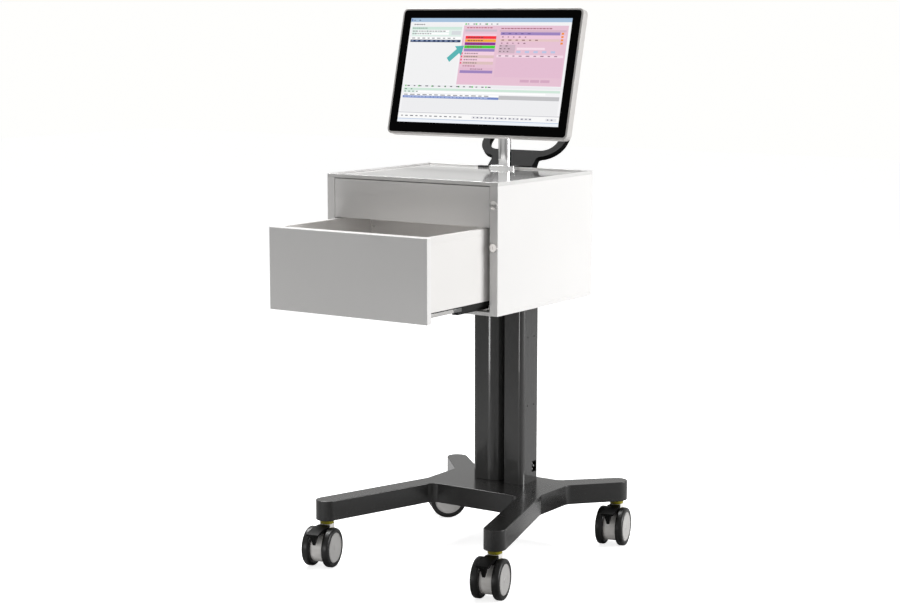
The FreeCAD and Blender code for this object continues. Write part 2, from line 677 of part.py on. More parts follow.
def make_mount():
    """Tilt plate on the monitor's back and a collar that swivels on the mast."""
    plate = new_body("tilt_plate")
    sketch = new_sketch(plate, "XZ", "-mon_t - shell_t")
    add_box(sketch, "-plate_half", "-plate_half", "plate_half", "plate_half")
    pad(plate, sketch, "plate_t", back=True)
    soften(plate, "8", lambda e, m: along(e, Y_AXIS))
    for near in ("-arm_in - arm_w", "arm_in"):
        sketch = new_sketch(plate, "YZ", near)
        add_box(sketch, "mon_t + shell_t + plate_t - 1", "-hinge_r", "hinge_back", "hinge_r")
        pad(plate, sketch, "arm_w")
        sketch = new_sketch(plate, "YZ", near)
        add_circle(sketch, "hinge_back", "0", "hinge_r")
        pad(plate, sketch, "arm_w")
    sketch = new_sketch(plate, "YZ")
    add_circle(sketch, "hinge_back", "0", "pin_r + fit")
    pocket(plate, sketch, "2 * (arm_in + arm_w + 10)", middle=True)
    sketch = new_sketch(plate, "XZ", "-mon_t - shell_t")
    spot = "(plate_half - plate_hole_in)"
    for sx in ("-", ""):
        for sz in ("-", ""):
            add_circle(sketch, sx + spot, sz + spot, "2.3")
    pocket(plate, sketch, "5")
    plate.Placement = monitor_rest()
    pivot = on_monitor(0, size("hinge_back"), 0)
    mast_y, mast_r = size("mast_y"), size("mast_r")
    outer = mast_r + 5
    sleeve = Part.makeCylinder(outer, 46, V(0, mast_y, pivot.z - 23), Z_AXIS)
    half = size("arm_in") - size("arm_air")
    barrel = Part.makeCylinder(size("hinge_r"), 2 * half, V(-half, pivot.y, pivot.z), X_AXIS)
    corner = V(-half, pivot.y, pivot.z - size("hinge_r"))
    arm = Part.makeBox(2 * half, mast_y - pivot.y, 2 * size("hinge_r"), corner)
    nut_at = size("arm_in") + size("arm_w") + 0.5
    nut_w = 3.5
    reach = nut_at + nut_w
    pin = Part.makeCylinder(size("pin_r"), 2 * reach, V(-reach, pivot.y, pivot.z), X_AXIS)
    nuts = [Part.makeCylinder(6.5, nut_w, V(px, pivot.y, pivot.z), X_AXIS) for px in (-reach, nut_at)]
    bore = Part.makeCylinder(mast_r + size("fit"), 60, V(0, mast_y, pivot.z - 30), Z_AXIS)
    shape = sleeve.fuse([barrel, arm, pin] + nuts).cut(bore).removeSplitter()
    collar = doc.addObject("Part::Feature", "mast_collar")
    collar.Label = "mast_collar"
    collar.Shape = shape
    collar.Placement = FreeCAD.Placement()


def make_push_handle():
    """A bent plate: an upright tab on the column, then a tilted loop."""
    body = new_body("push_handle")
    sketch = new_sketch(body, "YZ")
    tilt = "grip_tilt"
    ux, uy = "cos(%s)" % tilt, "sin(%s)" % tilt
    half = "grip_t / 2"
    reach = "(grip_low + 6)"
    far_y, far_z = "grip_y + %s * %s" % (reach, ux), "grip_z + %s * %s" % (reach, uy)
    off_y, off_z = "%s * %s" % (half, uy), "%s * %s" % (half, ux)
    add_loop(sketch, [
        ("col_back", "tab_low"), ("col_back + tab_t", "tab_low"),
        ("col_back + tab_t", "grip_z - 2"),
        (far_y + " + " + off_y, far_z + " - " + off_z), (far_y + " - " + off_y, far_z + " + " + off_z),
        ("grip_y - " + off_y, "grip_z + " + off_z), ("grip_y - " + off_y, "back_top"),
        ("col_back", "back_top"),
    ])
    pad(body, sketch, "2 * back_half", middle=True)
    sketch = grip_sketch(body, "0")
    pad(body, sketch, "grip_t", middle=True)
    sketch = grip_sketch(body, "band")
    pocket(body, sketch, "3 * grip_t", middle=True)
    lean = math.radians(size(tilt))
    normal = V(0, -math.sin(lean), math.cos(lean))
    rise = V(0, math.cos(lean), math.sin(lean))
    foot = V(0, size("grip_y"), size("grip_z"))

    def at_neck(edge, mid):
        off = abs((mid - foot).dot(rise) - size("grip_low"))
        return along(edge, normal) and abs(abs(mid.x) - size("back_half")) < 0.1 and off < 1

    soften(body, "neck_r", at_neck)
    return body


def grip_sketch(body, inset):
    """A sketch in the loop's tilted plane with its rounded outline, drawn inset from its outer edge."""
    sketch = new_sketch(body)
    for path, text in (("Base.y", "grip_y"), ("Base.z", "grip_z"), ("Rotation.Axis.x", "1"),
                       ("Rotation.Axis.z", "0"), ("Rotation.Angle", "grip_tilt")):
        sketch.setExpression("AttachmentOffset." + path, bind(text))
    off = size(inset) if inset in SIZES else 0.0
    wide, r = size("grip_half") - off, size("grip_r") - off
    low, high = size("grip_low") + off, size("grip_high") - off
    corners = [(1, low, -90), (1, high, 0), (-1, high, 90), (-1, low, 180)]
    arcs = []
    for side, level, start in corners:
        centre = V(side * (wide - r), level + (r if level == low else -r), 0)
        circle = Part.Circle(centre, V(0, 0, 1), r)
        arc = Part.ArcOfCircle(circle, math.radians(start), math.radians(start + 90))
        arcs.append(sketch.addGeometry(arc, False))
    half, turn_r = "(grip_half - %s)" % inset, "(grip_r - %s)" % inset
    floor, roof = "(grip_low + %s)" % inset, "(grip_high - %s)" % inset
    inner = "%s - %s" % (half, turn_r)
    ends = [
        ((inner, floor), (half, "%s + %s" % (floor, turn_r))),
        ((half, "%s - %s" % (roof, turn_r)), (inner, roof)),
        (("-(%s)" % inner, roof), ("-" + half, "%s - %s" % (roof, turn_r))),
        (("-" + half, "%s + %s" % (floor, turn_r)), ("-(%s)" % inner, floor)),
    ]
    for arc, (begin, end) in zip(arcs, ends):
        index = sketch.addConstraint(Sketcher.Constraint("Radius", arc, r))
        sketch.setExpression("Constraints[%d]" % index, bind(turn_r))
        hold_point(sketch, arc, 1, *begin)
        hold_point(sketch, arc, 2, *end)
    for i in range(4):
        here, there = sketch.Geometry[arcs[i]].EndPoint, sketch.Geometry[arcs[(i + 1) % 4]].StartPoint
        line = sketch.addGeometry(Part.LineSegment(here, there), False)
        sketch.addConstraint(Sketcher.Constraint("Coincident", arcs[i], 2, line, 1))
        sketch.addConstraint(Sketcher.Constraint("Coincident", line, 2, arcs[(i + 1) % 4], 1))
    return sketch


def caster_spots():
    """Name, swivel point and swivel angle of each caster, front and rear, left and right."""
    x, y, turned = size("cast_x"), size("cast_y"), size("swivel")
    return [
        ("front_left", -x, -y, turned), ("front_right", x, -y, turned),
        ("rear_right", x, y, turned), ("rear_left", -x, y, size("rear_left")),
    ]


def make_caster_stems():
    """Fixed stems pressed into the legs, each with a lip that holds its caster up."""
    solids = []
    low = size("ring_z") - 6
    for name, px, py, angle in caster_spots():
        stem = Part.makeCylinder(size("stem_r"), 44, V(px, py, low), Z_AXIS)
        lip = Part.makeCylinder(size("lip_r"), 2, V(px, py, low), Z_AXIS)
        solids.append(stem.fuse(lip).removeSplitter())
    return join_solids("caster_stems", solids)


def make_caster_collars():
    solids = []
    low = size("ring_z")
    for name, px, py, angle in caster_spots():
        height = size("leg_z") - low
        ring = Part.makeCylinder(size("ring_r"), height, V(px, py, low), Z_AXIS)
        edges = [e for e in ring.Edges if abs(e.BoundBox.ZMax - low) < 0.01 and e.Closed]
        ring = ring.makeFillet(1.5, edges)
        bore = Part.makeCylinder(size("stem_r"), 30, V(px, py, low - 5), Z_AXIS)
        solids.append(ring.cut(bore).removeSplitter())
    return join_solids("caster_collars", solids)


def make_fork(name, rest):
    """The middle of a caster: a drum between the wheels, a neck on the stem, stub axles and a pedal pin."""
    fork = new_body(name + "_fork")
    sketch = new_sketch(fork, "YZ")
    add_circle(sketch, "-trail", "wheel_r", "cap_r")
    pad(fork, sketch, "2 * gap_half - 1.4", middle=True)
    neck = [
        ("-trail - 10", "wheel_r + 20"), ("14", "wheel_r + 6"), ("15", "ring_z - 16"),
        ("15", "ring_z - 0.5"), ("-14", "ring_z - 0.5"), ("-15", "ring_z - 14"),
    ]
    lug = [
        ("pivot_y - 5", "wheel_r + cap_r - 6"), ("-10", "wheel_r + cap_r - 6"), ("-10", "pivot_z + 2.5"),
        ("pivot_y - 5", "pivot_z + 2.5"),
    ]
    for outline, width in ((neck, "2 * gap_half - 5"), (lug, "pedal_half - 4")):
        sketch = new_sketch(fork, "YZ")
        add_loop(sketch, outline)
        pad(fork, sketch, width, middle=True)
    for py, pz, radius, width in (("-trail", "wheel_r", "stub_r", "2 * gap_half + 2 * wheel_w - 8"),
                                  ("pivot_y", "pivot_z", "pivot_r", "2 * pedal_half")):
        sketch = new_sketch(fork, "YZ")
        add_circle(sketch, py, pz, radius)
        pad(fork, sketch, width, middle=True)
    for top, radius, depth in (("ring_z", "stem_r + fit", "6.3"), ("ring_z - 3.7", "lip_r + 0.3", "2.6")):
        sketch = new_sketch(fork, "XY", top)
        add_circle(sketch, "0", "0", radius)
        pocket(fork, sketch, depth)
    fork.Placement = rest


def make_pedal(name, rest):
    """A brake lever between the wheels: a top plate with side skirts on the pin and a tapered toe rib."""
    pedal = new_body(name + "_pedal")
    sketch = new_sketch(pedal, "YZ")
    add_loop(sketch, [
        ("pivot_y + 6", "pivot_z + 9"), ("pivot_y + 6", "pivot_z - 4"), ("pivot_y - 6", "pivot_z - 4"),
        ("pivot_y - 34", "pivot_z - 2.5"), ("pivot_y - 38", "pivot_z + 2"),
        ("pivot_y - 66", "pivot_z - 3.5"), ("pivot_y - 66", "pivot_z + 1"),
        ("pivot_y - 51", "pivot_z + 5.5"), ("pivot_y - 26", "pivot_z + 8.5"),
    ])
    pad(pedal, sketch, "2 * pedal_half", middle=True)
    sketch = new_sketch(pedal, "YZ")
    add_box(sketch, "pivot_y - 35", "pivot_z - 9", "pivot_y + 7", "pivot_z + 4")
    pocket(pedal, sketch, "2 * pedal_half - 8", middle=True)
    sketch = new_sketch(pedal, "YZ")
    add_circle(sketch, "pivot_y", "pivot_z", "pivot_r + fit")
    pocket(pedal, sketch, "2 * pedal_half + 2", middle=True)
    sketch = new_sketch(pedal, "YZ")
    add_loop(sketch, [
        ("pivot_y - 64", "pivot_z - 1"), ("pivot_y - 56", "pivot_z - 28.5"),
        ("pivot_y - 52", "pivot_z - 28.5"), ("pivot_y - 40", "pivot_z + 2"),
    ])
    pad(pedal, sketch, "15", middle=True)
    for sign in ("-", ""):
        sketch = new_sketch(pedal, "XZ", "-pivot_y + 70")
        add_loop(sketch, [
            (sign + "3", "pivot_z - 30"), (sign + "9", "pivot_z - 30"), (sign + "9", "pivot_z - 5"),
            (sign + "7.4", "pivot_z - 5"),
        ])
        pocket(pedal, sketch, "40")
    pedal.Placement = rest


def make_caster(name, px, py, angle):
    """One twin-wheel caster: fork, brake pedal and two wheels, each a rim and a tyre."""
    rest = FreeCAD.Placement(V(px, py, 0), FreeCAD.Rotation(Z_AXIS, angle))
    make_fork(name, rest)
    make_pedal(name, rest)
    axle = FreeCAD.Placement(V(0, -size("trail"), size("wheel_r")), FreeCAD.Rotation())
    axle_rest = rest.multiply(axle)
    for side, sign in (("left", "-"), ("right", "")):
        make_wheel(name, side, sign, axle_rest)


def make_wheel(name, side, sign, axle_rest):
    """A rim with a blind bore for its stub axle, and a tyre round it, turned about the axle."""
    inner = sign + "gap_half"
    outer = sign + "(gap_half + wheel_w)"
    near = sign + "(gap_half + 0.4)"
    seat = sign + "(gap_half + 2)"
    far_seat = sign + "(gap_half + wheel_w - 2)"
    bore_end = sign + "(gap_half + wheel_w - 3)"
    rim = new_body("%s_rim_%s" % (name, side))
    sketch = new_sketch(rim, "XZ")
    add_loop(sketch, [
        (near, "stub_r + fit"), (bore_end, "stub_r + fit"), (bore_end, "0"), (outer, "0"),
        (outer, "cap_r - 6"), (far_seat, "cap_r"), (seat, "cap_r"), (near, "cap_r - 2"),
    ])
    turn(rim, sketch)
    rim.Placement = axle_rest
    tyre = new_body("%s_tyre_%s" % (name, side))
    sketch = new_sketch(tyre, "XZ")
    add_loop(sketch, [
        (seat, "cap_r"), (far_seat, "cap_r"), (outer, "cap_r + 1.5"), (outer, "wheel_r - 4"),
        (sign + "(gap_half + wheel_w - 3.5)", "wheel_r"), (sign + "(gap_half + 3.5)", "wheel_r"),
        (inner, "wheel_r - 4"), (inner, "cap_r + 1.5"),
    ])
    turn(tyre, sketch)
    tyre.Placement = axle_rest


def export_all():
    doc.recompute()
    os.makedirs("parts", exist_ok=True)
    count = 0
    for thing in doc.Objects:
        if "Invalid" in thing.State or "Error" in thing.State:
            raise RuntimeError(thing.Label + " is not sound")
        is_body = thing.TypeId == "PartDesign::Body"
        is_loose = thing.TypeId == "Part::Feature"
        if not (is_body or is_loose):
            continue
        shape = thing.Shape
        if shape.isNull() or not shape.isValid() or not shape.Solids:
            raise RuntimeError(thing.Label + " has a bad shape")
        shape.exportStep("parts/%s.step" % thing.Label)
        count += 1
    print("nodes", count)


make_base_casting()
make_base_cover()
make_cover_screws()
make_column_left()
make_column_right()
make_column_core()
make_power_inlet()
make_inlet_screws()
make_cabinet()
make_drawer("upper", "up_box_z", "up_box_h", "split_z + front_air / 2",
            "cab_top - skin_t - front_air", 0)
make_drawer("lower", "low_box_z", "split_z - front_air / 2 - low_box_z", "bed_z + front_air",
            "split_z - front_air / 2", size("low_open"))
make_upper_slides()
make_lower_slides()
make_locks()
make_mast()
make_monitor()
make_mount()
make_push_handle()
make_caster_stems()
make_caster_collars()
for spot in caster_spots():
    make_caster(*spot)
export_all()
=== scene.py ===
import json
import math

import bmesh
import bpy
from mathutils import Matrix, Vector


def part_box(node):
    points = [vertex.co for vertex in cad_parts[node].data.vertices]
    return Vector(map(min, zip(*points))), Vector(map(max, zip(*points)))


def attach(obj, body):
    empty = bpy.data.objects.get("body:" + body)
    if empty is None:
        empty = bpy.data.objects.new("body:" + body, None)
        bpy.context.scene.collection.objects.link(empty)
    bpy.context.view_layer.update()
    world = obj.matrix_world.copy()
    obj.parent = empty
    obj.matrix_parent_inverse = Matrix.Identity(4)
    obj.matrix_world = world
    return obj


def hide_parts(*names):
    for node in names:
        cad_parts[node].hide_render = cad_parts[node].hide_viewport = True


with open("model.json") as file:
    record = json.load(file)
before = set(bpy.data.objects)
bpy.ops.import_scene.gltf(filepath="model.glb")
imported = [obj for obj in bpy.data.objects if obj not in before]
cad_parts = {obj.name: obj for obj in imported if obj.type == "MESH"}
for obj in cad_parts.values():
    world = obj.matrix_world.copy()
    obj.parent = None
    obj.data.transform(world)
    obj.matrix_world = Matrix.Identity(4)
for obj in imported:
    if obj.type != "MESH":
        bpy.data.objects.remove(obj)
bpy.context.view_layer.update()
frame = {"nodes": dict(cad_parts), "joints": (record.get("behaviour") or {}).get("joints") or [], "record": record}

record = frame["record"]
jointByName = {joint["name"]: joint for joint in frame["joints"]}
bodyOf = {node: body for body, nodes in record["behaviour"]["bodies"].items() for node in nodes}
slotOf = {part["node"]: part["material_slot"] for part in record["subparts"]}
corners = ("front_left", "front_right", "rear_right", "rear_left")
print("frame loaded:", len(frame["nodes"]), "nodes")


# camera and light

view = {
    "azimuth": 34.09, "elevation": 8.33, "lens": 78.2, "sensor": 36.0, "farthest": 60,
    "place": (2.7018, -4.1056, 1.3687),
}


def makeCamera():
    data = bpy.data.cameras.new("viewCamera")
    data.lens = view["lens"]
    data.sensor_width = view["sensor"]
    data.clip_end = view["farthest"]
    camera = bpy.data.objects.new("viewCamera", data)
    turn = math.radians(view["azimuth"])
    down = math.radians(view["elevation"])
    camera.rotation_euler = (math.radians(90) - down, 0, turn)
    camera.location = view["place"]
    bpy.context.scene.collection.objects.link(camera)
    bpy.context.scene.camera = camera


studio = {
    "ambient": 0.26, "glossy": 0.55, "backdrop": 1.0,
    "sidePlace": (4.4, 2.0, 1.5), "sideSize": 2.4, "sidePower": 226,
    "topPlace": (-1.5, 0.6, 3.4), "topSize": 1.6, "topPower": 150,
    "frontPlace": (-0.4, -2.1, 0.25), "frontSize": 0.4, "frontPower": 4.6,
    "aim": (0, 0, 0.6), "tint": (1.0, 0.998, 0.985, 1),
}


def addSoftbox(name, place, width, power, aim):
    data = bpy.data.lights.new(name, "AREA")
    data.shape = "SQUARE"
    data.size = width
    data.energy = power
    lamp = bpy.data.objects.new(name, data)
    lamp.location = place
    lamp.rotation_euler = (Vector(aim) - Vector(place)).to_track_quat("-Z", "Y").to_euler()
    bpy.context.scene.collection.objects.link(lamp)


def makeStudio():
    world = bpy.data.worlds.new("studioWorld")
    bpy.context.scene.world = world
    world.use_nodes = True
    tree = world.node_tree
    tree.nodes.clear()
    out = tree.nodes.new("ShaderNodeOutputWorld")
    seen = tree.nodes.new("ShaderNodeLightPath")
    glow = {}
    for name in ("ambient", "glossy", "backdrop"):
        glow[name] = tree.nodes.new("ShaderNodeBackground")
        glow[name].inputs["Color"].default_value = studio["tint"]
        glow[name].inputs["Strength"].default_value = studio[name]
    last = glow["ambient"].outputs[0]
    for ray, name in (("Is Glossy Ray", "glossy"), ("Is Camera Ray", "backdrop")):
        mix = tree.nodes.new("ShaderNodeMixShader")
        tree.links.new(seen.outputs[ray], mix.inputs[0])
        tree.links.new(last, mix.inputs[1])
        tree.links.new(glow[name].outputs[0], mix.inputs[2])
        last = mix.outputs[0]
    tree.links.new(last, out.inputs[0])
    for name in ("side", "top", "front"):
        place, width, power = (studio[name + part] for part in ("Place", "Size", "Power"))
        addSoftbox(name + "Softbox", place, width, power, studio["aim"])
    bpy.context.scene.view_settings.view_transform = "Standard"


makeCamera()
makeStudio()
print("camera and studio set")


# shader maths

class Wire:
    # a shader socket that takes + and * with another socket or a number
    def __init__(self, shade, socket):
        self.shade = shade
        self.socket = socket

    def calc(self, operation, first, second):
        return self.shade.node("ShaderNodeMath", {"operation": operation}, {0: first, 1: second})

    def __add__(self, other):
        return self.calc("ADD", self, other)

    def __radd__(self, other):
        return self.calc("ADD", other, self)

    def __mul__(self, other):
        return self.calc("MULTIPLY", self, other)

    def __rmul__(self, other):
        return self.calc("MULTIPLY", other, self)


class Shade:
    # one material with its principled shader and the object's own coordinates
    def __init__(self, name, **fixed):
        self.material = bpy.data.materials.new(name)
        self.material.use_nodes = True
        self.tree = self.material.node_tree
        self.shader = self.tree.nodes["Principled BSDF"]
        for socket, value in fixed.items():
            self.shader.inputs[socket.replace("_", " ")].default_value = value
        self.place = self.node("ShaderNodeTexCoord", {}, {}, "Object")

    def node(self, kind, settings, inputs, output=0):
        made = self.tree.nodes.new(kind)
        for key, value in settings.items():
            if key == "stops":
                for spot, (position, colour) in enumerate(value):
                    stops = made.color_ramp.elements
                    stop = stops[spot] if spot < 2 else stops.new(position)
                    stop.position = position
                    stop.color = colour
            else:
                setattr(made, key, value)
        for key, value in inputs.items():
            if isinstance(value, Wire):
                self.tree.links.new(value.socket, made.inputs[key])
            else:
                made.inputs[key].default_value = value
        return Wire(self, made.outputs[output])

    def set(self, socket, wire):
        self.tree.links.new(wire.socket, self.shader.inputs[socket])

    def noise(self, scale, detail=3.0, stretch=(1, 1, 1)):
        spot = self.node("ShaderNodeMapping", {}, {"Vector": self.place, "Scale": stretch})
        return self.node("ShaderNodeTexNoise", {}, {"Vector": spot, "Scale": scale, "Detail": detail})

    def mix(self, factor, first, second):
        made = self.tree.nodes.new("ShaderNodeMix")
        made.data_type = "RGBA"
        self.tree.links.new(factor.socket, made.inputs[0])
        for slot, value in ((6, first), (7, second)):
            if isinstance(value, Wire):
                self.tree.links.new(value.socket, made.inputs[slot])
            else:
                made.inputs[slot].default_value = value
        return Wire(self, made.outputs[2])

    def bump(self, height, strength, depth):
        inputs = {"Height": height, "Strength": strength, "Distance": depth}
        self.set("Normal", self.node("ShaderNodeBump", {}, inputs))

    def ramp(self, wire, stops):
        return self.node("ShaderNodeValToRGB", {"stops": stops}, {0: wire})


def grey(level, warm=0.0):
    return (level * (1 + warm), level, level * (1 - warm), 1.0)


def coating(name, low, high, rough, coat, grain, peel):
    # a sprayed finish: faint colour drift, roughness drift and a very fine orange peel
    shade = Shade(name, Coat_Weight=coat, Coat_Roughness=0.06, Specular_IOR_Level=0.5)
    drift = shade.noise(3.5, 2.0)
    shade.set("Base Color", shade.mix(drift, low, high))
    shade.set("Roughness", drift * 0.06 + shade.noise(60.0, 2.0) * 0.05 + (rough - 0.05))
    shade.bump(shade.noise(grain, 2.0), peel, 0.0004)
    return shade.material


def moulded(name, low, high, rough, grain, depth, sheen):
    # injection-moulded plastic with a fine spark-eroded grain
    shade = Shade(name, Specular_IOR_Level=sheen)
    drift = shade.noise(18.0, 3.0)
    shade.set("Base Color", shade.mix(drift, low, high))
    shade.set("Roughness", shade.noise(240.0, 2.0) * 0.14 + (rough - 0.07))
    shade.bump(shade.noise(grain, 3.0), 0.35, depth)
    return shade.material


def metal(name, low, high, rough, stretch, streak):
    # drawn or plated metal with streaks along one direction
    shade = Shade(name)
    streaks = shade.noise(140.0, 4.0, stretch)
    shade.set("Base Color", shade.mix(streaks, low, high))
    shade.shader.inputs["Metallic"].default_value = 1.0
    shade.set("Roughness", streaks * streak + (rough - streak / 2))
    shade.bump(streaks, 0.08, 0.0002)
    return shade.material


def wornCoating(name, low, high, rough, coat):
    # dark powder coat: pebbled, with sparse scuffs where hands and feet rub it
    shade = Shade(name, Coat_Weight=coat, Coat_Roughness=0.16, Specular_IOR_Level=0.5)
    pebble = shade.noise(520.0, 3.0)
    scuff = shade.ramp(shade.noise(26.0, 8.0, (1, 1, 0.3)), [(0.66, (0, 0, 0, 1)), (0.86, (1, 1, 1, 1))])
    cloud = shade.noise(7.0, 3.0)
    shade.set("Base Color", shade.mix(cloud, low, high))
    shade.set("Roughness", scuff * 0.10 + pebble * 0.08 + (rough - 0.04))
    shade.bump(pebble, 0.12, 0.0002)
    return shade.material


def rubber(name):
    # tyre rubber, dull with a little dust in its grain
    shade = Shade(name, Specular_IOR_Level=0.35)
    dust = shade.noise(90.0, 5.0)
    shade.set("Base Color", shade.mix(dust, grey(0.004), grey(0.014, 0.03)))
    shade.set("Roughness", dust * 0.20 + 0.24)
    shade.bump(shade.noise(700.0, 2.0), 0.3, 0.0003)
    return shade.material


def glassBlack(name):
    shade = Shade(name, Specular_IOR_Level=0.02)
    smear = shade.noise(9.0, 5.0)
    shade.set("Base Color", shade.mix(smear, grey(0.0015), grey(0.0035)))
    shade.set("Roughness", smear * 0.06 + 0.05)
    return shade.material


def litDisplay(name):
    # each block of the display carries its colour in the "tint" attribute; a fine dot grid breaks it up
    shade = Shade(name, Roughness=0.25, Emission_Strength=1.0)
    tint = shade.node("ShaderNodeAttribute", {"attribute_name": "tint"}, {}, "Color")
    dots = shade.node("ShaderNodeTexVoronoi", {}, {"Vector": shade.place, "Scale": 900.0}, "Distance")
    lit = shade.mix(dots * 0.05, tint, grey(0.0))
    shade.set("Emission Color", lit)
    shade.shader.inputs["Base Color"].default_value = grey(0.01)
    return shade.material


collarTones = ((0.24, 0.21, 0.006, 1), (0.30, 0.26, 0.008, 1))

finish = {
    "lacquer": coating("whiteLacquer", grey(0.77, 0.012), grey(0.81, 0.010), 0.32, 0.10, 420.0, 0.05),
    "trayLacquer": coating("trayLacquer", grey(0.74, 0.012), grey(0.78, 0.010), 0.12, 1.0, 160.0, 0.015),
    "drawerPaint": coating("drawerPaint", grey(0.74, 0.02), grey(0.78, 0.02), 0.36, 0.1, 380.0, 0.08),
    "graphite": wornCoating("graphiteCoat", grey(0.010, 0.02), grey(0.015, 0.02), 0.26, 0.30),
    "columnCoat": coating("columnCoat", grey(0.040, 0.01), grey(0.050, 0.01), 0.18, 0.5, 300.0, 0.05),
    "zinc": metal("zincPlate", grey(0.66, 0.01), grey(0.78, 0.02), 0.34, (1, 0.06, 1), 0.18),
    # near-black for the lower slide's middle and drawer members: painted shade that stands for the shadow inside
    # the cabinet
    "slideShadowBlack": moulded("slideShadowBlack", grey(0.004), grey(0.008), 0.42, 300.0, 0.0002, 0.15),
    "polished": metal("polishedTube", grey(0.82), grey(0.90), 0.09, (1, 1, 0.05), 0.05),
    "armGrey": wornCoating("armGrey", grey(0.060), grey(0.085), 0.42, 0.2),
    "blackPlastic": moulded("blackPlastic", grey(0.002), grey(0.004), 0.40, 900.0, 0.0003, 0.10),
    "gripPlastic": moulded("gripPlastic", grey(0.002), grey(0.004), 0.40, 620.0, 0.0004, 0.02),
    "silverFrame": moulded("silverFrame", grey(0.50, 0.03), grey(0.56, 0.03), 0.32, 800.0, 0.0002, 0.45),
    "shellPlastic": moulded("shellPlastic", grey(0.32, 0.01), grey(0.37, 0.01), 0.48, 500.0, 0.0005, 0.45),
    "casterGrey": moulded("casterGrey", grey(0.78, 0.03), grey(0.84, 0.03), 0.34, 700.0, 0.0003, 0.45),
    "capGrey": moulded("capGrey", grey(0.42, 0.02), grey(0.46, 0.02), 0.36, 700.0, 0.0003, 0.35),
    "lockMetal": metal("lockMetal", grey(0.80, 0.02), grey(0.88, 0.02), 0.13, (1, 1, 1), 0.04),
    "yellow": moulded("collarYellow", *collarTones, 0.35, 600.0, 0.0003, 0.3),
    "tyre": rubber("tyreRubber"),
    "glass": glassBlack("screenGlass"),
    "display": litDisplay("litDisplay"),
    "grommet": moulded("grommetRubber", grey(0.030), grey(0.045), 0.44, 500.0, 0.0004, 0.3),
}
print("materials made:", len(finish))


# finished copies of the CAD pieces: merged, lightly rounded and smoothed

rounding = {"merge": 2e-6, "flat": 0.3, "segments": 2, "bevelled": 40}
# degrees between two faces above which the edge stays sharp
sharpAbove = {"finished": 38, "turned": 30, "box": 50}


def settle(piece, body, slotName, *nodes):
    bpy.context.view_layer.update()
    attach(piece, body)
    if nodes:
        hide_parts(*nodes)
    return piece


def addMesh(name, mesh, *materials):
    piece = bpy.data.objects.new(name, mesh)
    bpy.context.scene.collection.objects.link(piece)
    mesh.materials.clear()
    for material in materials:
        mesh.materials.append(material)
    return piece


def shadeSmooth(mesh, kind):
    for face in mesh.polygons:
        face.use_smooth = True
    mesh.set_sharp_from_angle(angle=math.radians(sharpAbove[kind]))


def bakeModifiers(piece):
    graph = bpy.context.evaluated_depsgraph_get()
    mesh = bpy.data.meshes.new_from_object(piece.evaluated_get(graph))
    piece.modifiers.clear()
    piece.data = mesh
    return mesh


def finishNode(node, material, edge, body, slotName):
    mesh = frame["nodes"][node].data.copy()
    build = bmesh.new()
    build.from_mesh(mesh)
    bmesh.ops.remove_doubles(build, verts=build.verts, dist=rounding["merge"])
    flat = math.radians(rounding["flat"])
    bmesh.ops.dissolve_limit(build, angle_limit=flat, verts=build.verts, edges=build.edges)
    build.to_mesh(mesh)
    build.free()
    piece = addMesh(node + "_finish", mesh, material)
    if edge > 0:
        bevel = piece.modifiers.new("edge", "BEVEL")
        bevel.width = edge
        bevel.segments = rounding["segments"]
        bevel.limit_method = "ANGLE"
        bevel.angle_limit = math.radians(rounding["bevelled"])
        bevel.miter_outer = "MITER_ARC"
    weigh = piece.modifiers.new("weigh", "WEIGHTED_NORMAL")
    weigh.keep_sharp = True
    shadeSmooth(mesh, "finished")
    bakeModifiers(piece)
    return settle(piece, body, slotName, node)


# node: (finish, edge rounding in metres)
edgeRound = {
    "base_casting": ("graphite", 0), "base_cover": ("blackPlastic", 0.0005),
    "cover_screws": ("zinc", 0.0003), "column_left": ("columnCoat", 0.0006),
    "column_right": ("columnCoat", 0), "column_core": ("columnCoat", 0.0003),
    "power_inlet": ("blackPlastic", 0.0003), "inlet_screws": ("columnCoat", 0),
    "cabinet_bottom": ("lacquer", 0.0005), "cabinet_top": ("trayLacquer", 0.0005),
    "cabinet_side_left": ("lacquer", 0), "cabinet_side_right": ("lacquer", 0),
    "cabinet_back": ("lacquer", 0), "upper_drawer_front": ("lacquer", 0.0004),
    "lower_drawer_front": ("lacquer", 0.0004), "upper_drawer_box": ("drawerPaint", 0),
    "lower_drawer_box": ("drawerPaint", 0), "upper_slide_fixed": ("zinc", 0.0002),
    "upper_slide_mid": ("zinc", 0.0004), "upper_slide_drawer": ("zinc", 0.0004),
    # the lower slide's middle and drawer members take the near-black painted shade; the fixed channel stays zinc
    "lower_slide_fixed": ("zinc", 0), "lower_slide_mid": ("slideShadowBlack", 0.0002),
    "lower_slide_drawer": ("slideShadowBlack", 0.0002), "lock_upper": ("lockMetal", 0.0003),
    "lock_lower": ("lockMetal", 0.0003), "mast_foot": ("polished", 0),
    "mast_tube": ("polished", 0.0004), "mast_collar": ("armGrey", 0.0006),
    "tilt_plate": ("armGrey", 0.0005), "monitor_frame": ("silverFrame", 0),
    "monitor_back": ("shellPlastic", 0.0008), "monitor_glass": ("glass", 0.0003),
    "push_handle": ("gripPlastic", 0.0025), "cable_grommet": ("grommet", 0.0008),
    "caster_stems": ("zinc", 0.0004), "caster_collars": ("yellow", 0.0003),
}
for corner in corners:
    edgeRound[corner + "_fork"] = ("casterGrey", 0.0008)
    edgeRound[corner + "_pedal"] = ("blackPlastic", 0.0012)

for node, (look, edge) in edgeRound.items():
    finishNode(node, finish[look], edge, bodyOf[node], slotOf[node])
print("CAD pieces finished:", len(edgeRound))


# wheels

wheel = {
    "radius": 0.050, "width": 0.020, "rimRadius": 0.038, "shoulder": 0.0060, "bead": 0.0018,
    "steps": 96, "inset": 0.0004, "hubBore": 0.00805, "tyreFit": 0.0002, "merge": 1e-6,
}


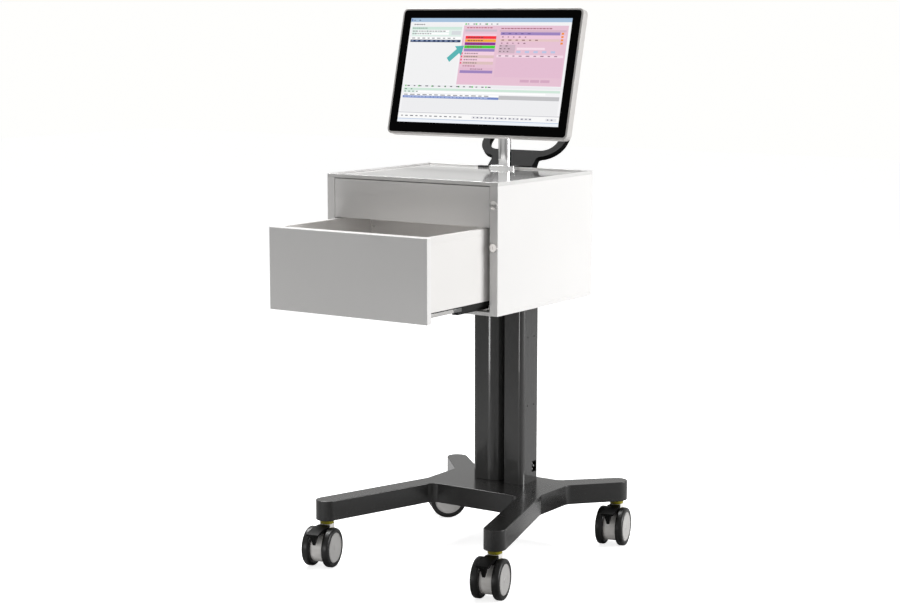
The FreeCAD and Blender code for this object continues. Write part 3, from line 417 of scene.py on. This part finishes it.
def axleFrame(corner, side):
    # a matrix whose Z runs out along the axle and whose origin is the middle of the wheel's width
    joint = jointByName["%s_wheel_%s_spin" % (corner, side)]
    low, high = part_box("%s_tyre_%s" % (corner, side))
    middle = (Vector(low) + Vector(high)) / 2
    out = Vector(joint["axis"]) * (1 if side == "right" else -1)
    up = Vector((0, 0, 1))
    across = up.cross(out).normalized()
    turn = Matrix((across, up, out)).transposed().to_4x4()
    return Matrix.Translation(middle) @ turn


def lathe(name, profile, place, steps, material):
    # turns (radius, height) points about Z; points on the axis close the ends
    build = bmesh.new()
    rings = []
    for radius, height in profile:
        if radius == 0:
            rings.append([build.verts.new((0, 0, height))])
            continue
        angles = [2 * math.pi * i / steps for i in range(steps)]
        rings.append([build.verts.new((radius * math.cos(a), radius * math.sin(a), height)) for a in angles])
    for first, second in zip(rings, rings[1:]):
        for i in range(steps):
            j = (i + 1) % steps
            a, b = len(first), len(second)
            loop = [first[i % a], first[j % a], second[j % b], second[i % b]]
            unique = [v for k, v in enumerate(loop) if v not in loop[:k]]
            if len(unique) > 2:
                build.faces.new(unique)
    if len(rings[0]) > 1 and len(rings[-1]) > 1:
        for i in range(steps):
            j = (i + 1) % steps
            build.faces.new((rings[-1][i], rings[-1][j], rings[0][j], rings[0][i]))
    bmesh.ops.recalc_face_normals(build, faces=build.faces)
    build.transform(place)
    mesh = bpy.data.meshes.new(name)
    build.to_mesh(mesh)
    build.free()
    shadeSmooth(mesh, "turned")
    return addMesh(name, mesh, material)


def rimProfile():
    # a shallow dished disc with a rolled edge, a ring groove and a hub boss on its outer face
    face, back = wheel["width"] / 2, -wheel["width"] / 2 + wheel["inset"]
    r, bore = wheel["rimRadius"], wheel["hubBore"]
    return [
        (0, face - 0.0004), (0.0050, face - 0.0004), (0.0062, face - 0.0012), (0.0075, face - 0.0016),
        (r - 0.0120, face - 0.0010), (r - 0.0060, face - 0.0005), (r - 0.0045, face - 0.0003),
        (r - 0.0040, face - 0.0010), (r - 0.0032, face - 0.0010), (r - 0.0027, face - 0.0002),
        (r - 0.0012, face - 0.0004), (r - 0.0002, face - 0.0016), (r - 0.0002, back + 0.0016),
        (r - 0.0020, back), (0.0120, back), (0.0105, back + 0.0010), (bore, back + 0.0010),
        (bore, face - 0.0030), (0, face - 0.0030),
    ]


def addInputs(tree, rows):
    # the named inputs of a geometry tree, and its one output
    for name, kind, value in rows:
        socket = tree.interface.new_socket(name=name, in_out="INPUT", socket_type="NodeSocket" + kind)
        if value is not None:
            socket.default_value = value
    tree.interface.new_socket(name="Geometry", in_out="OUTPUT", socket_type="NodeSocketGeometry")


def endTree(tree, shape, material):
    # makes instances real, sets the material and hands the shape to the output
    nodes, links = tree.nodes, tree.links
    realize = nodes.new("GeometryNodeRealizeInstances")
    links.new(shape, realize.inputs[0])
    paint = nodes.new("GeometryNodeSetMaterial")
    links.new(realize.outputs[0], paint.inputs["Geometry"])
    links.new(material, paint.inputs["Material"])
    links.new(paint.outputs[0], nodes.new("NodeGroupOutput").inputs[0])


def tyreTree():
    # a section swept round a circle: well rounded at the tread's shoulders, tighter at the two beads
    tree = bpy.data.node_groups.new("sweptTyre", "GeometryNodeTree")
    addInputs(tree, (
        ("Tyre Radius", "Float", wheel["radius"]), ("Bore Radius", "Float", wheel["rimRadius"]),
        ("Width", "Float", wheel["width"]), ("Shoulder", "Float", wheel["shoulder"]),
        ("Bead", "Float", wheel["bead"]), ("Steps", "Int", wheel["steps"]),
        ("Material", "Material", None),
    ))
    nodes, links = tree.nodes, tree.links
    given = nodes.new("NodeGroupInput").outputs

    def calc(operation, first, second):
        made = nodes.new("ShaderNodeMath")
        made.operation = operation
        for slot, value in enumerate((first, second)):
            if isinstance(value, (int, float)):
                made.inputs[slot].default_value = value
            else:
                links.new(value, made.inputs[slot])
        return made.outputs[0]

    depth = calc("SUBTRACT", given["Tyre Radius"], given["Bore Radius"])
    middle = calc("SUBTRACT", given["Tyre Radius"], calc("MULTIPLY", depth, 0.5))
    circle = nodes.new("GeometryNodeCurvePrimitiveCircle")
    links.new(given["Steps"], circle.inputs["Resolution"])
    links.new(middle, circle.inputs["Radius"])
    block = nodes.new("GeometryNodeCurvePrimitiveQuadrilateral")
    links.new(depth, block.inputs["Width"])
    links.new(given["Width"], block.inputs["Height"])
    fillet = nodes.new("GeometryNodeFilletCurve")
    fillet.mode = "POLY"
    fillet.inputs["Count"].default_value = 6
    links.new(block.outputs[0], fillet.inputs["Curve"])
    spot = nodes.new("ShaderNodeSeparateXYZ")
    links.new(nodes.new("GeometryNodeInputPosition").outputs[0], spot.inputs[0])
    onTread = calc("GREATER_THAN", spot.outputs["X"], 0.0)
    extra = calc("MULTIPLY", onTread, calc("SUBTRACT", given["Shoulder"], given["Bead"]))
    links.new(calc("ADD", given["Bead"], extra), fillet.inputs["Radius"])
    sweep = nodes.new("GeometryNodeCurveToMesh")
    links.new(circle.outputs[0], sweep.inputs["Curve"])
    links.new(fillet.outputs[0], sweep.inputs["Profile Curve"])
    smooth = nodes.new("GeometryNodeSetShadeSmooth")
    links.new(sweep.outputs[0], smooth.inputs[0])
    endTree(tree, smooth.outputs[0], given["Material"])
    return tree


def nodesToMesh(name, tree, values):
    # runs a geometry tree once and keeps its result as a plain mesh
    holder = bpy.data.objects.new(name, bpy.data.meshes.new(name))
    bpy.context.scene.collection.objects.link(holder)
    modifier = holder.modifiers.new("build", "NODES")
    modifier.node_group = tree
    for item in tree.interface.items_tree:
        if item.in_out == "INPUT" and item.name in values:
            modifier[item.identifier] = values[item.name]
    mesh = bakeModifiers(holder)
    bpy.data.objects.remove(holder)
    return mesh


def makeWheels():
    tree = tyreTree()
    values = {
        "Tyre Radius": wheel["radius"], "Bore Radius": wheel["rimRadius"] - wheel["tyreFit"],
        "Width": wheel["width"], "Shoulder": wheel["shoulder"], "Bead": wheel["bead"],
        "Steps": wheel["steps"], "Material": finish["tyre"],
    }
    pattern = nodesToMesh("tyrePattern", tree, values)
    for corner in corners:
        for side in ("left", "right"):
            place = axleFrame(corner, side)
            body = "%s_wheel_%s" % (corner, side)
            name = "%s_rim_%s" % (corner, side)
            rim = lathe(name + "_turned", rimProfile(), place, wheel["steps"], finish["capGrey"])
            settle(rim, body, slotOf[name], name)
            name = "%s_tyre_%s" % (corner, side)
            mesh = pattern.copy()
            build = bmesh.new()
            build.from_mesh(mesh)
            bmesh.ops.remove_doubles(build, verts=build.verts, dist=wheel["merge"])
            build.transform(place)
            bmesh.ops.recalc_face_normals(build, faces=build.faces)
            build.to_mesh(mesh)
            build.free()
            settle(addMesh(name + "_swept", mesh, finish["tyre"]), body, slotOf[name], name)


makeWheels()
print("wheels made")


# the display: coloured blocks laid on the glass

screen = {
    "width": 0.482, "height": 0.271, "tilt": 14.1, "low": 0.0024, "glass": 0.003, "lift": 0.00010,
    "step": 0.00005,
}
arrow = {
    "tip": (0.362, 0.262), "tail": (0.272, 0.400), "breadth": 0.55, "neck": 0.62, "shaft": 0.22,
    "head": 0.52,
}
dashes = {"above": 0.005, "below": 0.004, "gap": 0.005, "moreGap": 0.010}


def monitorPlace():
    # the display's own axes: X to the right, Y up the glass, Z out of it, with its origin at the centre
    turn = math.radians(screen["tilt"])
    low, high = (Vector(v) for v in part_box("monitor_glass"))
    right = Vector((1, 0, 0))
    up = Vector((0, math.sin(turn), math.cos(turn)))
    out = right.cross(up)
    # the glass leans back by its height's share in Y, and its front face's centre is halfway along that
    halfLean = (high.y - low.y - screen["glass"] * math.cos(turn)) / 2
    frontZ = (low.z + high.z + screen["glass"] * math.sin(turn)) / 2
    front = Vector((0, low.y + halfLean, frontZ)) + up * screen["low"]
    return Matrix.Translation(front) @ Matrix((right, up, out)).transposed().to_4x4()


def hexColour(code):
    # a colour written as rrggbb, turned from display values to light
    values = [int(code[i:i + 2], 16) / 255 for i in (0, 2, 4)]
    return tuple(v / 12.92 if v <= 0.04045 else ((v + 0.055) / 1.055) ** 2.4 for v in values) + (1.0,)


def displayBlocks():
    # (left, top, right, bottom, colour) in parts of the display's width and height, later ones on top
    blocks = [
        (0, 0, 1, 1, "f4f4f6"), (0, 0, 1, 0.038, "a4c0dc"), (0.006, 0.010, 0.012, 0.028, "2a3c9c"),
        (0.013, 0.052, 0.335, 0.630, "f1f1f2"), (0.013, 0.084, 0.335, 0.112, "cfe8dc"),
        (0.016, 0.116, 0.335, 0.176, "dfeee8"), (0.045, 0.118, 0.110, 0.136, "ffffff"),
        (0.120, 0.118, 0.195, 0.136, "ffffff"), (0.200, 0.118, 0.255, 0.136, "ffffff"),
        (0.045, 0.142, 0.255, 0.160, "ffffff"), (0.272, 0.124, 0.330, 0.160, "d6dade"),
        (0.013, 0.182, 0.335, 0.206, "ffffff"), (0.013, 0.208, 0.335, 0.232, "14305c"),
        (0.345, 0.044, 0.985, 0.070, "f2f2f4"), (0.345, 0.070, 0.985, 0.632, "e6c1d3"),
        (0.356, 0.108, 0.555, 0.128, "cdbccb"), (0.356, 0.150, 0.555, 0.430, "f3cfe0"),
        (0.356, 0.470, 0.560, 0.494, "e2b9cf"), (0.356, 0.496, 0.560, 0.522, "9b80bc"),
        (0.356, 0.524, 0.560, 0.612, "e8bfd4"), (0.572, 0.112, 0.975, 0.130, "d6b4c6"),
        (0.580, 0.132, 0.940, 0.160, "9a82bd"), (0.580, 0.196, 0.940, 0.218, "e5c6c4"),
        (0.580, 0.162, 0.975, 0.194, "f0c9dc"), (0.580, 0.250, 0.680, 0.330, "cfb3c2"),
        (0.690, 0.276, 0.860, 0.296, "f6dce8"), (0.572, 0.345, 0.975, 0.368, "f3d9e6"),
        (0.572, 0.372, 0.975, 0.555, "e3bcd1"), (0.0, 0.640, 1, 0.662, "ececef"),
        (0.013, 0.672, 0.985, 0.694, "cfe7d9"), (0.013, 0.696, 0.090, 0.716, "dfeee8"),
        (0.092, 0.700, 0.900, 0.716, "ffffff"), (0.013, 0.728, 0.620, 0.744, "ffffff"),
        (0.620, 0.728, 0.985, 0.766, "bfbfc2"), (0.013, 0.746, 0.620, 0.768, "6f86c4"),
        (0.013, 0.770, 0.985, 0.900, "ededef"), (0.0, 0.905, 1, 0.912, "c9c9ce"),
        (0.0, 0.915, 1, 0.965, "fafafa"), (0.0, 0.965, 1, 0.972, "b8c8e0"), (0.0, 0.972, 1, 1.0, "eef2f8"),
    ]
    for row, code in enumerate(("f5142b", "f2a72c", "8a1f96", "35d025", "9480bd")):
        blocks.append((0.364, 0.170 + 0.030 * row, 0.556, 0.197 + 0.030 * row, code))
    for row, code in enumerate(("f3cfe0", "ddc0bd", "f3cfe0", "ddc0bd")):
        top = 0.322 + 0.030 * row
        blocks.append((0.364, top, 0.556, top + 0.027, code))
        blocks.append((0.350, top + 0.005, 0.360, top + 0.022, "e8506a"))
    for row in range(4):
        blocks.append((0.948, 0.136 + 0.030 * row, 0.962, 0.154 + 0.030 * row, "f28c28"))
    for column in range(5):
        blocks.append((0.690 + 0.052 * column, 0.306, 0.716 + 0.052 * column, 0.326, "b9c4e2"))
    for column in range(7):
        left = 0.020 + 0.085 * column
        blocks.append((left, 0.646, left + 0.008, 0.660, "2fc02f"))
    for column in range(3):
        blocks.append((0.352 + 0.066 * column, 0.050, 0.360 + 0.066 * column, 0.064, "2fc02f"))
        blocks.append((0.735 + 0.062 * column, 0.575, 0.790 + 0.062 * column, 0.600, "d3a7c0"))
    for column in range(5):
        left = 0.470 + 0.075 * column
        blocks.append((left, 0.928, left + 0.066, 0.952, "e6e6ea"))
    blocks.append((0.920, 0.928, 0.985, 0.952, "e6e6ea"))
    return blocks


def displayLines():
    # rows of short dashes where the display would show words: (left, right, height down, colour, dash length)
    rows = [
        (0.020, 0.090, 0.022, "5f6f90", 0.010), (0.025, 0.100, 0.062, "5a5a5f", 0.012),
        (0.020, 0.120, 0.098, "5f7a70", 0.009), (0.020, 0.250, 0.127, "8a8a90", 0.016),
        (0.020, 0.150, 0.151, "8a8a90", 0.014), (0.020, 0.320, 0.194, "8c8c92", 0.022),
        (0.020, 0.320, 0.220, "8fa2c4", 0.020), (0.365, 0.560, 0.057, "707078", 0.014),
        (0.366, 0.540, 0.092, "b0546c", 0.016), (0.580, 0.900, 0.098, "9a5068", 0.018),
        (0.370, 0.450, 0.455, "a85c78", 0.014), (0.420, 0.500, 0.484, "8c6880", 0.010),
        (0.590, 0.800, 0.146, "6c5a96", 0.018), (0.590, 0.760, 0.178, "8a5c74", 0.012),
        (0.590, 0.820, 0.207, "8a5c64", 0.020), (0.590, 0.740, 0.236, "8a5c74", 0.012),
        (0.585, 0.660, 0.262, "7c6470", 0.012), (0.585, 0.670, 0.288, "7c6470", 0.014),
        (0.585, 0.660, 0.314, "7c6470", 0.010), (0.585, 0.960, 0.356, "8c6880", 0.022),
        (0.034, 0.600, 0.653, "606068", 0.018), (0.020, 0.080, 0.684, "6a8a78", 0.014),
        (0.020, 0.110, 0.707, "6a8a78", 0.012), (0.020, 0.600, 0.737, "8a8a90", 0.030),
        (0.020, 0.560, 0.757, "a9b8de", 0.024), (0.020, 0.440, 0.940, "707078", 0.020),
        (0.480, 0.840, 0.940, "5a5a70", 0.012), (0.930, 0.975, 0.940, "5a5a70", 0.012),
    ]
    for row in range(4):
        rows.append((0.380, 0.480, 0.184 + 0.030 * row, "7a3038", 0.014))
        rows.append((0.372, 0.460, 0.336 + 0.030 * row, "80606c", 0.012))
    marks = []
    for left, right, down, code, dash in rows:
        spot, count = left, 0
        while spot + dash < right:
            wide = dash * (0.6 + 0.4 * ((count * 7 + int(down * 1000)) % 5) / 4)
            marks.append((spot, down - dashes["above"], spot + wide, down + dashes["below"], code))
            spot += wide + dashes["gap"] + dashes["moreGap"] * ((count * 3 + int(down * 100)) % 3)
            count += 1
    return marks


def arrowOutline():
    # a broad arrow pointing up and to the right, ending by the coloured rows
    tip, tail = Vector(arrow["tip"]), Vector(arrow["tail"])
    along = tip - tail
    side = Vector((-along.y * screen["height"], along.x * screen["width"]))
    side = Vector((side.x / screen["width"], side.y / screen["height"])) * arrow["breadth"]
    neck = tail + along * arrow["neck"]
    shaft, head = side * arrow["shaft"], side * arrow["head"]
    return [tail - shaft, neck - shaft, neck - head, tip, neck + head, neck + shaft, tail + shaft]


def overlap(first, second):
    across = first[0] < second[2] and second[0] < first[2]
    return across and first[1] < second[3] and second[1] < first[3]


def makeDisplay():
    place = monitorPlace()
    build = bmesh.new()
    tint = build.loops.layers.float_color.new("tint")
    wide, high = screen["width"], screen["height"]

    def addShape(points, code, level):
        lift = screen["lift"] + screen["step"] * level
        flat = [Vector(((x - 0.5) * wide, (0.5 - y) * high, 0)) for x, y in points]
        top = [build.verts.new(v + Vector((0, 0, lift))) for v in flat]
        low = [build.verts.new(v + Vector((0, 0, screen["lift"] / 2))) for v in flat]
        faces = [build.faces.new(top), build.faces.new(low[::-1])]
        for i in range(len(top)):
            j = (i + 1) % len(top)
            faces.append(build.faces.new((top[i], low[i], low[j], top[j])))
        for face in faces:
            for loop in face.loops:
                loop[tint] = hexColour(code)

    def addBlock(block, level):
        x0, y0, x1, y1, code = block
        addShape([(x0, y0), (x0, y1), (x1, y1), (x1, y0)], code, level)

    laid = []
    for block in displayBlocks() + displayLines():
        under = [level for other, level in laid if overlap(block, other)]
        level = max(under, default=0) + 1
        laid.append((block, level))
        addBlock(block, level)
    highest = max(level for block, level in laid)
    addShape([(p.x, p.y) for p in arrowOutline()], "4fb3b3", highest + 1)
    print("display blocks:", len(laid), "in", highest, "levels")
    bmesh.ops.recalc_face_normals(build, faces=build.faces)
    build.transform(place)
    mesh = bpy.data.meshes.new("display")
    build.to_mesh(mesh)
    build.free()
    settle(addMesh("display_picture", mesh, finish["display"]), "monitor", "screen_glass")


makeDisplay()
print("display made")


# screw heads, laid out on grids

screw = {
    "headRadius": 0.0034, "headHeight": 0.0016, "sides": 20, "topShare": 0.72,
    "driveSides": 6, "driveShare": 0.42, "driveDepth": 0.002, "driveLift": 0.0018,
    "edgeInset": 0.020, "clear": 0.0002, "plateSpan": 0.100, "plateDepth": 0.0506,
}


def screwTree():
    # one screw head with a six-sided drive, set on every point of a grid
    tree = bpy.data.node_groups.new("screwGrid", "GeometryNodeTree")
    addInputs(tree, (
        ("Count Across", "Int", 2), ("Count Up", "Int", 2),
        ("Span Across", "Float", screw["plateSpan"]), ("Span Up", "Float", screw["plateSpan"]),
        ("Head Radius", "Float", screw["headRadius"]), ("Head Height", "Float", screw["headHeight"]),
        ("Material", "Material", None),
    ))
    nodes, links = tree.nodes, tree.links
    given = nodes.new("NodeGroupInput").outputs
    grid = nodes.new("GeometryNodeMeshGrid")
    for name, socket in (("Size X", "Span Across"), ("Size Y", "Span Up"),
                         ("Vertices X", "Count Across"), ("Vertices Y", "Count Up")):
        links.new(given[socket], grid.inputs[name])
    head = nodes.new("GeometryNodeMeshCone")
    head.inputs["Vertices"].default_value = screw["sides"]
    links.new(given["Head Radius"], head.inputs["Radius Bottom"])
    shrink = nodes.new("ShaderNodeMath")
    shrink.operation = "MULTIPLY"
    shrink.inputs[1].default_value = screw["topShare"]
    links.new(given["Head Radius"], shrink.inputs[0])
    links.new(shrink.outputs[0], head.inputs["Radius Top"])
    links.new(given["Head Height"], head.inputs["Depth"])
    socketCut = nodes.new("GeometryNodeMeshCylinder")
    socketCut.inputs["Vertices"].default_value = screw["driveSides"]
    half = nodes.new("ShaderNodeMath")
    half.operation = "MULTIPLY"
    half.inputs[1].default_value = screw["driveShare"]
    links.new(given["Head Radius"], half.inputs[0])
    links.new(half.outputs[0], socketCut.inputs["Radius"])
    socketCut.inputs["Depth"].default_value = screw["driveDepth"]
    lift = nodes.new("GeometryNodeTransform")
    links.new(socketCut.outputs["Mesh"], lift.inputs["Geometry"])
    lift.inputs["Translation"].default_value = (0, 0, screw["driveLift"])
    carve = nodes.new("GeometryNodeMeshBoolean")
    carve.operation = "DIFFERENCE"
    links.new(head.outputs["Mesh"], carve.inputs["Mesh 1"])
    links.new(lift.outputs[0], carve.inputs["Mesh 2"])
    spread = nodes.new("GeometryNodeInstanceOnPoints")
    links.new(grid.outputs["Mesh"], spread.inputs["Points"])
    links.new(carve.outputs["Mesh"], spread.inputs["Instance"])
    endTree(tree, spread.outputs[0], given["Material"])
    return tree


def makeScrews():
    tree = screwTree()
    low, high = (Vector(v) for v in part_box("cabinet_back"))
    middle = (low + high) / 2
    upright = Matrix.Rotation(math.radians(-90), 4, "X")
    backFace = Matrix.Translation((middle.x, high.y + screw["clear"], middle.z)) @ upright
    behind = Matrix.Translation((0, 0, -screw["plateDepth"]))
    plate = monitorPlace() @ behind @ Matrix.Rotation(math.pi, 4, "Y")
    wide, tall = high.x - low.x - screw["edgeInset"], high.z - low.z - screw["edgeInset"]
    groups = {
        "back_screws": (backFace, 4, 2, wide, tall, "root", "cabinet_white"),
        "plate_screws": (plate, 2, 2, screw["plateSpan"], screw["plateSpan"], "monitor", "arm_grey"),
    }
    for name, (place, across, up, wide, tall, body, slotName) in groups.items():
        values = {
            "Count Across": across, "Count Up": up, "Span Across": wide, "Span Up": tall,
            "Head Radius": screw["headRadius"], "Head Height": screw["headHeight"],
            "Material": finish["zinc"],
        }
        mesh = nodesToMesh(name, tree, values)
        mesh.transform(place)
        settle(addMesh(name, mesh, finish["zinc"]), body, slotName)


makeScrews()
print("screws made")


# small pieces

smallEdge = 0.0003


def roundedBox(name, low, high, edge, material):
    build = bmesh.new()
    bmesh.ops.create_cube(build, size=1.0)
    size = Vector(high) - Vector(low)
    build.transform(Matrix.Translation((Vector(low) + Vector(high)) / 2) @ Matrix.Diagonal((*size, 1)))
    bmesh.ops.bevel(build, geom=build.edges[:], offset=edge, segments=3, profile=0.5, affect="EDGES")
    mesh = bpy.data.meshes.new(name)
    build.to_mesh(mesh)
    build.free()
    shadeSmooth(mesh, "box")
    return addMesh(name, mesh, material)


catch = {
    "clear": 0.0003, "length": 0.099, "leverLength": 0.033, "gap": 0.0022, "drop": 0.0110,
    "setback": 0.001, "inner": 0.0002, "outer": 0.0012,
}


def makeCatches():
    # a light grey release catch and a dark grey lever under each side of the lower drawer
    low, high = (Vector(v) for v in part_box("lower_slide_drawer"))
    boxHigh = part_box("lower_drawer_box")[1][0]
    for side in (-1, 1):
        tag = "right" if side > 0 else "left"
        ends = sorted((side * (high.x + catch["inner"]), side * (boxHigh + catch["outer"])))
        start = low.y + catch["setback"]
        pieces = (("catch", start, catch["length"], "capGrey"),
                  ("lever", start + catch["length"], catch["leverLength"], "armGrey"))
        for name, front, length, look in pieces:
            base = (ends[0], front, high.z - catch["drop"])
            top = (ends[1], front + length - catch["clear"], high.z - catch["gap"])
            piece = roundedBox("runner_%s_%s" % (name, tag), base, top, smallEdge, finish[look])
            settle(piece, "lower_drawer", "slide_steel")


makeCatches()
print("catches made")


# the power inlet's blades and the inserts in the column's side

inlet = {"across": 0.0035, "up": 0.007, "width": 0.0022, "height": 0.0042, "root": 0.0165, "tip": 0.0029}
insert = {"clear": 0.00004, "deep": 0.004, "sunk": 0.0006, "steps": 24}
bolts = next(mount for mount in record["mounts"] if mount["name"] == "accessory_bolts")


def makeInletPins():
    # the three plated blades that stand inside the power inlet
    low, high = (Vector(v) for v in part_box("power_inlet"))
    middle = (low + high) / 2
    spots = ((inlet["across"], 0), (-inlet["across"], inlet["up"]), (-inlet["across"], -inlet["up"]))
    half = Vector((0, inlet["width"] / 2, inlet["height"] / 2))
    for number, (along, up) in enumerate(spots, start=1):
        centre = Vector((high.x, middle.y + along, middle.z + up))
        base = centre - half - Vector((inlet["root"], 0, 0))
        top = centre + half - Vector((inlet["tip"], 0, 0))
        pin = roundedBox("inlet_pin_%d" % number, base, top, smallEdge, finish["zinc"])
        settle(pin, "root", "black_plastic")


def makeRailInserts():
    # dark threaded inserts just below the surface of the column's side
    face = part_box("column_right")[1][0] - insert["sunk"]
    radius, deep = bolts["dims"]["hole_r_mm"] / 1000 - insert["clear"], insert["deep"]
    profile = [(0, 0), (radius, 0), (radius, -deep), (0, -deep)]
    halfAcross, halfUp = bolts["dims"]["spacing_x_mm"] / 2000, bolts["dims"]["spacing_y_mm"] / 2000
    outward = Matrix.Rotation(math.radians(90), 4, "Y")
    spots = [(across, up) for across in (-halfAcross, halfAcross) for up in (-halfUp, halfUp)]
    for number, (across, up) in enumerate(spots, start=1):
        spot = (face, bolts["pos_m"][1] + across, bolts["pos_m"][2] + up)
        place = Matrix.Translation(spot) @ outward
        piece = lathe("rail_insert_%d" % number, profile, place, insert["steps"], finish["blackPlastic"])
        settle(piece, "root", "black_plastic")


makeInletPins()
makeRailInserts()
print("inlet pins and inserts made")


# floor: the camera sees it as white, and its light on the cart is that of a greyer one

floor = {"reach": 14.0, "lighting": 0.48, "seen": 0.80, "glow": 0.78, "rough": 0.9}


def makeFloor():
    mesh = bpy.data.meshes.new("studioFloor")
    reach = floor["reach"]
    points = [(-reach, -reach, 0), (reach, -reach, 0), (reach, reach, 0), (-reach, reach, 0)]
    mesh.from_pydata(points, [], [(0, 1, 2, 3)])
    shade = Shade("paleFloor", Roughness=floor["rough"], Specular_IOR_Level=0.1)
    seen = shade.node("ShaderNodeLightPath", {}, {}, "Is Camera Ray")
    shade.set("Base Color", shade.mix(seen, grey(floor["lighting"]), grey(floor["seen"])))
    shade.set("Emission Color", shade.mix(seen, grey(0.0), grey(1.0)))
    shade.shader.inputs["Emission Strength"].default_value = floor["glow"]
    addMesh("studioFloor", mesh, shade.material)


makeFloor()

print("pieces placed")
